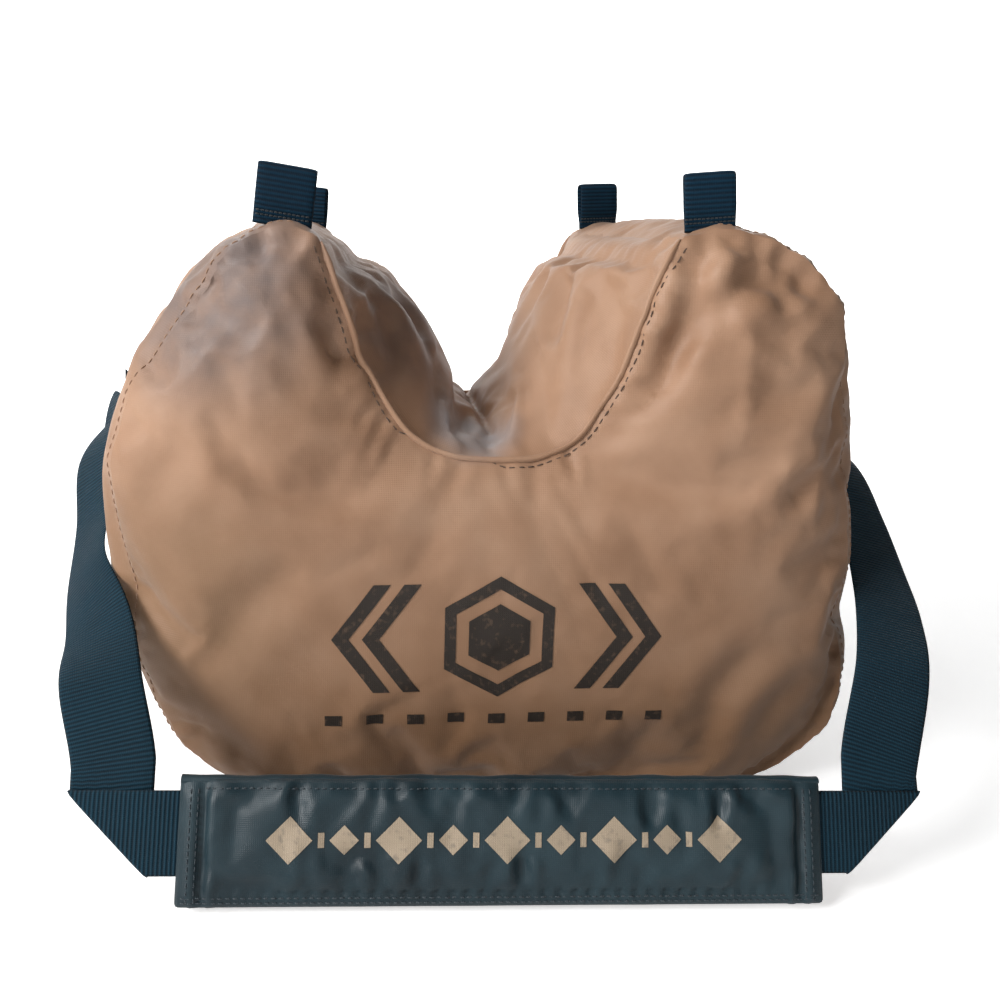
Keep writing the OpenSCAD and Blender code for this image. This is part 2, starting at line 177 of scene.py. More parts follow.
def relax(values, links, rounds, keep=None):
    """Averages each value with its neighbours' along the links, apart from those in keep."""
    count = np.zeros(len(values))
    np.add.at(count, links[:, 0], 1)
    np.add.at(count, links[:, 1], 1)
    values = np.array(values, float)
    fixed = values.copy()
    shape = (-1,) + (1,) * (values.ndim - 1)
    for _ in range(rounds):
        total = np.zeros_like(values)
        np.add.at(total, links[:, 0], values[links[:, 1]])
        np.add.at(total, links[:, 1], values[links[:, 0]])
        values = 0.5 * values + 0.5 * total / np.maximum(count, 1).reshape(shape)
        if keep is not None:
            values[keep] = fixed[keep]
    return values


# ---- The bag's surface, as part.scad has it ----
SEAM_DEPTH = 105.0
PANEL_BULGE = 21.0
SIDE_BULGE = 14.0
WALL_BULGE = 34.0
VALLEY_BULGE = 8.0
TIP_CROWN = 4.0
HORN_SLUMP = 18.0
OUTER_SEAM = np.array([
    [0, 0], [64, 0], [122, 0], [158, 13], [183, 44], [199, 86], [204, 130],
    [203, 173], [198, 212], [188, 248], [171, 281], [152, 303], [134, 314]], float)
INNER_SEAM = np.array([
    [0, 205], [23, 207], [42, 216], [56, 233], [69, 255], [79, 280], [87, 300], [94, 314]], float)
LEFT = np.array([-1.0, 1.0])      # turns a point of the right half, as (x, z), into one of the left


def outer_at(a):
    p = curve_at(OUTER_SEAM, a, before=OUTER_SEAM[1] * LEFT)
    p[:, 1] = np.maximum(p[:, 1], 0)
    return p


def inner_at(a):
    return curve_at(INNER_SEAM, a, before=INNER_SEAM[1] * LEFT)


def core_at(a):
    b = np.minimum(a, 0.88)
    return (outer_at(b) + inner_at(b)) / 2


def side_push(a):
    swell = SIDE_BULGE * ramp(outer_at(a)[:, 1] / 90) * (1 - 0.6 * a**8)
    return unit(outer_at(a) - core_at(a)) * swell[:, None]


def wall_push(a):
    swell = VALLEY_BULGE * (1 - a) + (WALL_BULGE - VALLEY_BULGE / 2) * np.sin(math.pi * a)**0.8
    return unit(inner_at(a) - core_at(a)) * swell[:, None]


class Strip:
    """A strip of cloth from the front seam to the back one, along a path in the x, z plane."""

    def __init__(self, base, push):
        self.base, self.push = base, push
        steps = np.linalg.norm(np.diff(base, axis=0), axis=1)
        self.s = np.concatenate([[0], np.cumsum(steps)])
        self.length = self.s[-1]

    def marks(self):
        """Lengths at which the strip has an edge: the base's ends and its own end."""
        flat = self.s[(np.abs(self.base[:, 0]) <= BASE_HALF) & (self.base[:, 1] < 1)]
        return (flat[0], flat[-1], self.length)

    def at(self, s, y):
        s, y = np.broadcast_arrays(s, y)
        shape = 1 - np.abs(y / SEAM_DEPTH)**2.5
        x, z = ((np.interp(s, self.s, self.base[:, k]) + np.interp(s, self.s, self.push[:, k]) * shape)
                for k in (0, 1))
        return np.column_stack([x, y, z])


def both_halves():
    """Places along a seam from its left end to its right one, and what turns each to its own half."""
    r = np.linspace(-1, 1, 601)
    return np.abs(r), np.column_stack([np.where(r < 0, -1.0, 1.0), np.ones_like(r)])


def outer_strip():
    """The base, both sides and both horn tips in one strip, from inner corner to inner corner."""
    a, flip = both_halves()
    t = np.linspace(0, 1, 41)[1:, None]
    end = np.array([1.0])
    crown = TIP_CROWN * 4 * t * (1 - t) * np.array([0.0, 1.0])
    tip = lerp(outer_at(end), inner_at(end), t) + crown
    tip_push = lerp(side_push(end), wall_push(end), t) + crown
    return Strip(np.vstack([tip[::-1] * LEFT, outer_at(a) * flip, tip]),
                 np.vstack([tip_push[::-1] * LEFT, side_push(a) * flip, tip_push]))


def saddle_strip():
    a, flip = both_halves()
    return Strip(inner_at(a) * flip, wall_push(a) * flip)


# How far the settled beads have moved the outer flanks to the right, by height, on each side.
LEFT_SAG = np.array([[0, 30], [20, 24], [40, 15], [85, 14], [125, 12], [200, 4], [232, 7], [280, 17],
                     [318, 12]], float)
RIGHT_SAG = np.array([[0, -6], [20, 13], [42, 22], [73, 15], [105, 5], [200, 0], [240, 2], [280, 12],
                      [318, 15]], float)
RIGHT_LIFT = 6.0         # how much higher the right horn has settled
LOOP_PEAK = 3.0          # how far each tie loop pulls up the cloth round its foot
LOOP_FEET = [(-110, 97), (110, 97)]
SHOULDER_Z = 200.0       # the horns start to settle above this height
HORN_RISE = 114.0        # and have settled fully this much higher, at their tips


def settled(p):
    """Where the cloth lies once the beads have settled: the right horn leans in at the back, and
    the flanks sag to the right."""
    x, y, z = p[:, 0], p[:, 1], p[:, 2]
    horn = ramp((z - SHOULDER_Z) / HORN_RISE)
    lean = HORN_SLUMP * horn * ramp(y / SEAM_DEPTH / 2 + 0.5) * (x > 0)
    front = 0.45 + 0.55 * ramp(0.5 - y / SEAM_DEPTH / 2)
    right = np.interp(z, RIGHT_SAG[:, 0], RIGHT_SAG[:, 1]) * ramp((x - 80) / 90)
    left = np.interp(z, LEFT_SAG[:, 0], LEFT_SAG[:, 1]) * ramp((-x - 80) / 90)
    lift = RIGHT_LIFT * horn * ramp(x / 40)
    for foot in LOOP_FEET:
        near = np.exp(-((x - foot[0]) / 17)**2 - ((np.abs(y) - foot[1]) / 9)**2)
        lift = lift + LOOP_PEAK * near * (z > 280)
    return np.column_stack([x - lean + (left + right) * front, y, z + lift])


# ---- Flat panels, meshed evenly and then folded into the bag ----
CLOTH_STEP = 6.0


def evenly(*marks):
    """Even stops from 0 to the last mark, one of them at each mark."""
    stops = [0.0]
    for low, high in zip((0, *marks), marks):
        stops += list(np.linspace(low, high, max(1, round((high - low) / CLOTH_STEP)) + 1)[1:])
    return np.array(stops)


def inside(points, outline):
    """Which points are inside a closed outline, by counting the edges to their right."""
    x, y = points[:, 0:1], points[:, 1:2]
    x0, y0 = outline.T
    x1, y1 = np.roll(outline, -1, axis=0).T
    crosses = (y0 > y) != (y1 > y)
    with np.errstate(divide="ignore", invalid="ignore"):
        where = x0 + (y - y0) * (x1 - x0) / (y1 - y0)
    return (crosses & (x < where)).sum(1) % 2 == 1


def nearest_gap(points, others):
    return np.sqrt(((points[:, None] - others[None])**2).sum(2)).min(1)


def even_mesh(outline, cuts=(), step=CLOTH_STEP):
    """(points, triangles) that fill a closed outline evenly. The outline's points come first. Each
    cut is a list of points across it, from one point of the outline to another, that edges follow."""
    low, high = outline.min(0), outline.max(0)
    rows = np.arange(low[1] + step / 2, high[1], step * 0.866)
    columns = np.arange(low[0], high[0], step)
    grid = np.array([[x + (step / 2 if j % 2 else 0), y] for j, y in enumerate(rows) for x in columns])
    grid += rng.uniform(-0.12, 0.12, grid.shape) * step
    fixed = np.vstack([outline, *(cut[1:-1] for cut in cuts)])
    grid = grid[inside(grid, outline) & (nearest_gap(grid, fixed) > 0.62 * step)]
    points = np.vstack([fixed, grid])
    n = len(outline)
    rim = [(i, (i + 1) % n) for i in range(n)]
    for cut in cuts:
        chain = [int(np.abs(points - p).sum(1).argmin()) for p in cut]
        rim += list(zip(chain, chain[1:]))
    _, _, faces, ids, _, _ = delaunay_2d_cdt([Vector(p) for p in points], rim, [], 1, 1e-6)
    source = [i[0] for i in ids]
    return points, [[source[i] for i in f] for f in faces]


PANELS = ["front_panel", "back_panel", "base_panel", "left_side_panel", "right_side_panel", "saddle_panel"]
FRONT, BACK, BASE, LEFT_SIDE, RIGHT_SIDE, SADDLE = range(6)
SIDE_PANELS = (LEFT_SIDE, RIGHT_SIDE)
BASE_HALF = 122.0        # half of the flat base's width
DOME_REACH = 80.0        # how far in from its seams a face panel goes on doming


def face_panel(outer, inner, back):
    """The front or back panel, in its own x, z plane, domed between its seams."""
    top = evenly(inner.length)[::-1][1:-1]
    outline = np.vstack([outer.at(evenly(*outer.marks()), SEAM_DEPTH), inner.at(top, SEAM_DEPTH)])[:, [0, 2]]
    points, faces = even_mesh(outline)
    domed = 1 - (1 - np.clip(nearest_gap(points, outline) / DOME_REACH, 0, 1))**2.2
    y = SEAM_DEPTH + PANEL_BULGE * 0.85 * domed
    return np.column_stack([points[:, 0], y if back else -y, points[:, 1]]), faces, points


def strip_panel(strip, marks):
    """A strip panel, in its own length, depth plane, with an edge across it at each mark."""
    along, across = evenly(*marks), evenly(2 * SEAM_DEPTH) - SEAM_DEPTH
    sides = [np.column_stack([along, np.full_like(along, -SEAM_DEPTH)]),
             np.column_stack([np.full_like(across, strip.length), across])[1:],
             np.column_stack([along[::-1], np.full_like(along, SEAM_DEPTH)])[1:],
             np.column_stack([np.zeros_like(across), across[::-1]])[1:-1]]
    cuts = [np.column_stack([np.full_like(across, s), across]) for s in marks[:-1]]
    points, faces = even_mesh(np.vstack(sides), cuts)
    return strip.at(points[:, 0], points[:, 1]), faces, points


def bag_mesh():
    """The whole closed cover as one mesh of triangles. Its material numbers are places in PANELS."""
    outer, inner = outer_strip(), saddle_strip()
    solid = bmesh.new()
    uv_layer = solid.loops.layers.uv.new("cloth")
    for kind, (points, faces, flat) in (
            (FRONT, face_panel(outer, inner, False)), (BACK, face_panel(outer, inner, True)),
            (BASE, strip_panel(outer, outer.marks())), (SADDLE, strip_panel(inner, (inner.length,)))):
        made = [solid.verts.new(p * MM) for p in settled(points)]
        for f in faces:
            face = solid.faces.new([made[i] for i in f])
            middle = points[f].mean(0)
            number = kind
            if kind == BASE and not (abs(middle[0]) < BASE_HALF and middle[2] < 1):
                number = LEFT_SIDE if middle[0] < 0 else RIGHT_SIDE
            face.material_index = number
            for loop, i in zip(face.loops, f):
                loop[uv_layer].uv = flat[i] * MM
    bmesh.ops.remove_doubles(solid, verts=solid.verts, dist=0.05 * MM)
    bmesh.ops.recalc_face_normals(solid, faces=solid.faces)
    mesh = bpy.data.meshes.new("bag")
    solid.to_mesh(mesh)
    solid.free()
    for name in PANELS:
        mesh.materials.append(bpy.data.materials.new("panel_" + name))
    return place_object("bag", mesh)


# ---- Materials ----
class Nodes:
    """Builds one procedural material. Points are in metres; keywords set the shader's own sockets."""

    def __init__(self, name, roughness, **constants):
        self.material = bpy.data.materials.new(name)
        self.material.use_nodes = True
        self.tree = self.material.node_tree
        self.shader = self.tree.nodes["Principled BSDF"]
        self.shader.inputs["Roughness"].default_value = roughness
        for key, value in constants.items():
            self.shader.inputs[key.replace("_", " ")].default_value = value
        self.object = self.add("TexCoord").outputs["Object"]

    def add(self, kind, inputs=None, **settings):
        node = self.tree.nodes.new("ShaderNode" + kind)
        for key, value in settings.items():
            setattr(node, key, value)
        for key, value in (inputs or {}).items():
            if isinstance(value, bpy.types.NodeSocket):
                self.tree.links.new(value, node.inputs[key])
            else:
                node.inputs[key].default_value = value
        return node

    def uv(self):
        return self.add("UVMap", uv_map="cloth").outputs["UV"]

    def noise(self, size, detail=4.0, at=None, stretch=(1, 1, 1)):
        """Noise with features about this many metres across, from 0 to 1."""
        place = self.add("Mapping", {"Vector": at or self.object, "Scale": stretch}).outputs["Vector"]
        return self.add("TexNoise", {"Vector": place, "Scale": 1 / size, "Detail": detail}).outputs["Fac"]

    def ribs(self, pitch, along="X", at=None, wobble=0.0):
        """Even bands with this pitch in metres, across one direction of the cloth's flat map."""
        return self.add("TexWave", {"Vector": at or self.uv(), "Scale": 0.314159 / pitch,
                                    "Distortion": wobble, "Detail": 1.0},
                        wave_type="BANDS", bands_direction=along).outputs["Fac"]

    def math(self, operation, a, b=0.0, clamp=False):
        return self.add("Math", {0: a, 1: b}, operation=operation, use_clamp=clamp).outputs[0]

    def between(self, factor, low, high):
        """A value that goes from low to high with the factor."""
        return self.add("MapRange", {"Value": factor, "To Min": low, "To Max": high}).outputs["Result"]

    def tone(self, factor, *stops):
        """A colour from (place, (red, green, blue)) stops."""
        node = self.add("ValToRGB", {"Fac": factor})
        ramp_points = node.color_ramp.elements
        while len(ramp_points) < len(stops):
            ramp_points.new(0.5)
        for point, (place, colour) in zip(ramp_points, stops):
            point.position = place
            point.color = (*colour, 1)
        return node.outputs["Color"]

    def mix(self, factor, a, b):
        return self.add("Mix", {0: factor, 6: a, 7: b}, data_type="RGBA").outputs[2]

    def bump(self, height, distance, strength=1.0, under=None):
        inputs = {"Height": height, "Distance": distance, "Strength": strength}
        if under:
            inputs["Normal"] = under
        return self.add("Bump", inputs).outputs["Normal"]

    def close(self, colour, normal, roughness=None):
        for key, value in (("Base Color", colour), ("Normal", normal), ("Roughness", roughness)):
            if value:
                self.tree.links.new(value, self.shader.inputs[key])
        return self.material


def cloth_material(name, dark, middle, light, weave, roughness, sheen, wear=(0.5, 0.4, 0.3), ground_shade=None,
                   painted_light_and_tone_patches=()):
    """Plain-woven proofed cloth: mottled, a little dusty and worn paler on its ridges. The colour given for
    near the ground is painted shade, which darkens the cloth more the lower it is, and the patches, each
    (place, radius, strength, colour), hold painted shade, a painted highlight and darker and greyer tone."""
    m = Nodes(name, roughness, Sheen_Weight=sheen, Sheen_Roughness=0.45, Specular_IOR_Level=0.35)
    blotch = m.noise(0.09, 5)
    cloud = m.noise(0.022, 6)
    amount = m.math("ADD", m.math("MULTIPLY", blotch, 0.65), m.math("MULTIPLY", cloud, 0.35))
    colour = m.tone(amount, (0.34, dark), (0.5, middle), (0.68, light))
    threads = m.math("MULTIPLY", m.ribs(weave, "X"), m.ribs(weave, "Y"))
    slub = m.noise(0.004, 3, at=m.uv(), stretch=(1, 6, 1))
    colour = m.mix(m.between(threads, 0.10, 0.0), colour, (*[v * 0.55 for v in dark], 1))
    colour = m.mix(m.between(slub, 0.0, 0.14), colour, (*light, 1))
    ridge = m.add("NewGeometry").outputs["Pointiness"]
    edge = m.math("MULTIPLY", m.math("SUBTRACT", ridge, 0.53), 9.0, clamp=True)
    colour = m.mix(m.math("MULTIPLY", edge, m.noise(0.006, 4)), colour, (*wear, 1))
    # Painted shade: the lower the cloth is, the more it is mixed into a darker brown.
    if ground_shade:
        height = m.add("SeparateXYZ", {"Vector": m.object}).outputs["Z"]
        low = m.add("MapRange", {"Value": height, "From Min": 0.19, "From Max": 0.0}).outputs["Result"]
        ground_shade_amount = m.math("MULTIPLY", low, m.between(m.noise(0.03, 6), 0.5, 1.0))
        colour = m.mix(ground_shade_amount, colour, (*ground_shade, 1))
    # Patches mixed in round their places: painted shade, a painted highlight, and darker and greyer tone.
    for spot, size, strength, mark in painted_light_and_tone_patches:
        away = m.add("VectorMath", {0: m.object, 1: spot}, operation="DISTANCE").outputs["Value"]
        near = m.add("MapRange", {"Value": away, "From Min": size, "From Max": size * 0.3},
                     interpolation_type="SMOOTHSTEP").outputs["Result"]
        amount = m.math("MULTIPLY", near, m.between(m.noise(0.02, 6), 0.3 * strength, 1.5 * strength))
        colour = m.mix(amount, colour, (*mark, 1))
    crumple = m.bump(m.noise(0.012, 5), 0.0008, 0.4)
    soft = m.bump(m.noise(0.05, 3), 0.0025, 0.25, crumple)
    normal = m.bump(threads, 0.00012, 0.5, soft)
    return m.close(colour, normal, m.between(cloud, roughness - 0.09, roughness + 0.12))


def webbing_material(name, dark, light, pitch=0.0021):
    """Ribbed webbing: ribs across it, warp threads along it, and faint wear."""
    m = Nodes(name, 0.62, Sheen_Weight=0.03, Sheen_Roughness=0.5, Specular_IOR_Level=0.14)
    rib = m.ribs(pitch, "Y", wobble=0.25)
    warp = m.ribs(0.0009, "X")
    dust = m.noise(0.018, 6)
    height = m.math("ADD", m.math("MULTIPLY", rib, 0.75), m.math("MULTIPLY", warp, 0.25))
    colour = m.tone(height, (0.15, dark), (0.9, light))
    colour = m.mix(m.between(dust, 0.0, 0.22), colour, (*[1.9 * v for v in light], 1))
    normal = m.bump(height, 0.0006, 0.9)
    return m.close(colour, m.bump(dust, 0.0006, 0.3, normal), m.between(dust, 0.55, 0.75))


def foam_material():
    m = Nodes("closed_foam", 0.85)
    cells = m.add("TexVoronoi", {"Vector": m.object, "Scale": 1400.0}).outputs["Distance"]
    colour = m.tone(cells, (0.1, (0.10, 0.105, 0.115)), (0.8, (0.22, 0.225, 0.24)))
    return m.close(colour, m.bump(cells, 0.0004, 0.6))


def bead_material():
    m = Nodes("foam_beads", 0.6, Subsurface_Weight=0.1)
    node = m.add("TexVoronoi", {"Vector": m.object, "Scale": 320.0})
    colour = m.tone(node.outputs["Distance"], (0.15, (0.9, 0.9, 0.87)), (0.75, (0.55, 0.54, 0.5)))
    return m.close(colour, m.bump(m.math("SUBTRACT", 1.0, node.outputs["Distance"]), 0.0018, 1.0))


def pile_material():
    """Hook and loop tape: short tangled pile."""
    m = Nodes("hook_loop_pile", 0.9, Sheen_Weight=0.3)
    pile = m.add("TexVoronoi", {"Vector": m.object, "Scale": 1500.0}).outputs["Distance"]
    tangle = m.noise(0.0012, 4)
    height = m.math("ADD", pile, tangle)
    colour = m.tone(height, (0.3, (0.006, 0.008, 0.010)), (1.0, (0.055, 0.065, 0.075)))
    return m.close(colour, m.bump(height, 0.0008, 0.9))


def tape_material():
    """Woven zip tape: a fine twill."""
    m = Nodes("zip_tape_twill", 0.75, Sheen_Weight=0.15)
    place = m.add("Mapping", {"Vector": m.object, "Rotation": (0, 0.7, 0)}).outputs["Vector"]
    twill = m.ribs(0.0008, "X", at=place)
    colour = m.tone(twill, (0.1, (0.008, 0.008, 0.010)), (0.9, (0.040, 0.040, 0.045)))
    return m.close(colour, m.bump(twill, 0.0002, 0.8))


def plastic_material():
    m = Nodes("moulded_teeth", 0.35, Specular_IOR_Level=0.5)
    grain = m.noise(0.0012, 4)
    colour = m.tone(grain, (0.3, (0.012, 0.012, 0.014)), (0.7, (0.03, 0.03, 0.034)))
    return m.close(colour, m.bump(grain, 0.00008, 0.6), m.between(grain, 0.28, 0.5))


def metal_material():
    """Satin metal with fine brushing and small scuffs."""
    m = Nodes("satin_metal", 0.34, Metallic=1.0)
    brushed = m.noise(0.0004, 2, stretch=(0.06, 1, 1))
    scuff = m.noise(0.004, 7)
    colour = m.tone(scuff, (0.35, (0.24, 0.24, 0.25)), (0.7, (0.46, 0.46, 0.48)))
    return m.close(colour, m.bump(brushed, 0.00006, 0.7), m.between(scuff, 0.24, 0.46))


def thread_material(name, dark, light):
    """Twisted sewing thread."""
    m = Nodes(name, 0.6, Sheen_Weight=0.2)
    place = m.add("Mapping", {"Vector": m.object, "Rotation": (0.6, 0.5, 0.8)}).outputs["Vector"]
    twist = m.ribs(0.0006, "X", at=place)
    return m.close(m.tone(twist, (0.1, dark), (0.9, light)), m.bump(twist, 0.0001, 0.8))


def ink_material(name, colour, thin):
    """A printed film that shows the cloth's weave and has worn thin in small flecks."""
    m = Nodes(name, 0.5, Specular_IOR_Level=0.4)
    threads = m.math("MULTIPLY", m.ribs(0.0011, "X"), m.ribs(0.0011, "Y"))
    fleck = m.noise(0.0035, 7)
    worn = m.math("MULTIPLY", m.math("SUBTRACT", fleck, 0.55), 6.0, clamp=True)
    shade = m.mix(m.math("MULTIPLY", worn, 0.5), (*colour, 1), (*thin, 1))
    shade = m.mix(m.between(threads, 0.18, 0.0), shade, (*[v * 0.4 for v in colour], 1))
    return m.close(shade, m.bump(threads, 0.00015, 0.7), m.between(fleck, 0.42, 0.62))


FLOOR_LIFT = 0.55        # how much paler the floor looks than the light on it alone would make it


def floor_material():
    m = Nodes("studio_floor", 0.6, Specular_IOR_Level=0.2)
    m.shader.inputs["Emission Color"].default_value = (1.0, 1.0, 1.0, 1)
    seen = m.add("LightPath").outputs["Is Camera Ray"]
    m.tree.links.new(m.math("MULTIPLY", seen, FLOOR_LIFT), m.shader.inputs["Emission Strength"])
    haze = m.noise(0.5, 4)
    colour = m.tone(haze, (0.3, (0.86, 0.86, 0.86)), (0.7, (0.90, 0.90, 0.90)))
    return m.close(colour, m.bump(m.noise(0.004, 3), 0.00005, 0.2))


# Patches painted on the cover's cloth, as (place, radius, strength, colour): painted shade that greys the
# front of the left horn, painted shade on the left horn's inner wall, a painted greyish highlight on the
# valley floor, a darker browner patch on the lower left of the front, and a greyed patch on the back of the
# right horn.
PAINTED_LIGHT_AND_TONE_PATCHES = [((-0.145, -0.11, 0.290), 0.080, 0.90, (0.170, 0.128, 0.114)),
          ((-0.060, -0.05, 0.262), 0.070, 0.75, (0.100, 0.068, 0.058)),
          ((-0.012, -0.08, 0.215), 0.036, 0.90, (0.270, 0.262, 0.275)),
          ((-0.170, -0.12, 0.130), 0.095, 0.55, (0.190, 0.108, 0.054)),
          ((0.120, 0.10, 0.300), 0.070, 0.40, (0.200, 0.155, 0.130))]
# The tan cover, with painted shade towards the ground and the patches of painted shade, painted highlight and
# tone above.
COVER = cloth_material("tan_cover_cloth", (0.29, 0.156, 0.088), (0.37, 0.210, 0.126), (0.43, 0.260, 0.166),
                       0.0011, 0.52, 0.12, wear=(0.46, 0.31, 0.22), ground_shade=(0.160, 0.080, 0.032),
                       painted_light_and_tone_patches=PAINTED_LIGHT_AND_TONE_PATCHES)
LINER = cloth_material("liner_cloth", (0.62, 0.60, 0.54), (0.70, 0.68, 0.62), (0.78, 0.76, 0.70),
                       0.0012, 0.7, 0.1, wear=(0.8, 0.78, 0.74))
NYLON = cloth_material("slate_pad_nylon", (0.006, 0.016, 0.022), (0.011, 0.028, 0.037),
                       (0.020, 0.045, 0.057), 0.0009, 0.42, 0.08, wear=(0.05, 0.085, 0.10))
STRAP_WEB = webbing_material("navy_strap_webbing", (0.0008, 0.006, 0.011), (0.007, 0.034, 0.055))
LOOP_WEB = webbing_material("navy_loop_webbing", (0.0003, 0.005, 0.012), (0.001, 0.022, 0.045), 0.0024)
TAN_THREAD = thread_material("brown_thread", (0.060, 0.032, 0.018), (0.13, 0.075, 0.045))
PALE_THREAD = thread_material("tan_thread", (0.25, 0.143, 0.086), (0.38, 0.225, 0.140))
PAD_THREAD = thread_material("slate_thread", (0.006, 0.012, 0.018), (0.035, 0.055, 0.068))
DARK_THREAD = thread_material("black_thread", (0.003, 0.005, 0.007), (0.02, 0.028, 0.034))
BAG_INK = ink_material("dark_print", (0.026, 0.018, 0.013), (0.16, 0.095, 0.06))
PAD_INK = ink_material("pale_print", (0.40, 0.315, 0.225), (0.11, 0.105, 0.095))


SIM_FRAMES = 20


def simulate(obj, weights, pressure, growth, stiffness=15.0, bending=0.5):
    """Swells the cloth under pressure with no gravity, and returns its points before and after.
    weights says how firmly each point is held, from 0 to 1."""
    start = points_of(obj.data)
    group = obj.vertex_groups.new(name="held")
    levels = np.round(weights, 2)
    for level in np.unique(levels):
        group.add(np.nonzero(levels == level)[0].tolist(), float(level), "REPLACE")
    cloth = obj.modifiers.new("cloth", "CLOTH")
    cloth.point_cache.frame_start = 1
    cloth.point_cache.frame_end = SIM_FRAMES
    settings = cloth.settings
    settings.quality = 5
    settings.mass = 0.3
    settings.tension_stiffness = stiffness
    settings.compression_stiffness = stiffness
    settings.shear_stiffness = stiffness / 3
    settings.bending_stiffness = bending
    settings.air_damping = 2.0
    settings.effector_weights.gravity = 0.0
    settings.use_pressure = True
    settings.uniform_pressure_force = pressure
    settings.shrink_min = -growth
    settings.vertex_group_mass = group.name
    settings.pin_stiffness = 1.0
    for number in range(1, SIM_FRAMES + 1):
        scene.frame_set(number)
    apply_modifiers(obj)
    scene.frame_set(1)
    obj.vertex_groups.clear()
    return start, points_of(obj.data)


def refine(obj):
    step = obj.modifiers.new("refine", "SUBSURF")
    step.levels = 1
    step.render_levels = 1
    return apply_modifiers(obj)


def capped(move, furthest, share=1.0):
    """The moves, none of them longer than this, and then this share of them."""
    size = np.linalg.norm(move, axis=1, keepdims=True)
    return move * (share * furthest * np.tanh(size / furthest) / np.maximum(size, 1e-6))


def panel_touch(mesh):
    """Which panels each point belongs to."""
    touch = np.zeros((len(mesh.vertices), len(PANELS)), bool)
    for face in mesh.polygons:
        touch[list(face.vertices), face.material_index] = True
    return touch


SWELL_CAP = 6.0       # furthest that the filled cloth moves out as a whole, of which
SWELL_SHARE = 0.7     # this share is kept
FINE_GAIN = 1.25      # how much the small wrinkles are brought out
SEAM_HOLD = 0.25      # how firmly the seams are held as the bag fills, and the horn tips
TIP_HOLD = 0.9
ZIP_Z = 98.0
ZIP_BACK_Y = 125.8    # the back panel lies flat here, under the zip
TIP_Z = 312.0


def zip_hold(p):
    """1 on the flat part of the back panel under the zip, fading to 0 round it."""
    x, y, z = p.T
    away = np.maximum(np.abs(x) - 100, np.abs(z - ZIP_Z) - 16)
    return ramp(1 - away / 40) * (y > SEAM_DEPTH)


def fill_bag(bag):
    """Blows the cover up with its beads and keeps the wrinkles that form."""
    mesh = bag.data
    touch = panel_touch(mesh)
    points = points_of(mesh)
    held = np.where(touch.sum(1) > 1, SEAM_HOLD, 0.0)
    held[points[:, 2] > TIP_Z] = TIP_HOLD
    held[(zip_hold(points) > 0.95) | touch[:, BASE]] = 1.0
    before, after = simulate(bag, held, pressure=4.0, growth=0.045)
    links = links_of(bag.data)
    move = after - before
    broad = relax(move, links, 40)
    fine = move - broad
    points = before + capped(broad, SWELL_CAP, SWELL_SHARE) + FINE_GAIN * fine
    hold = zip_hold(points)
    points[:, 1] = lerp(points[:, 1], ZIP_BACK_Y, hold)
    points[touch[:, BASE], 2] = 0
    points[:, 2] = np.maximum(points[:, 2], 0)
    put_points(bag.data, points)


FOLD_DEPTH = 0.85     # shares of a fold's full depth and width that the settled cloth shows
FOLD_WIDTH = 0.8
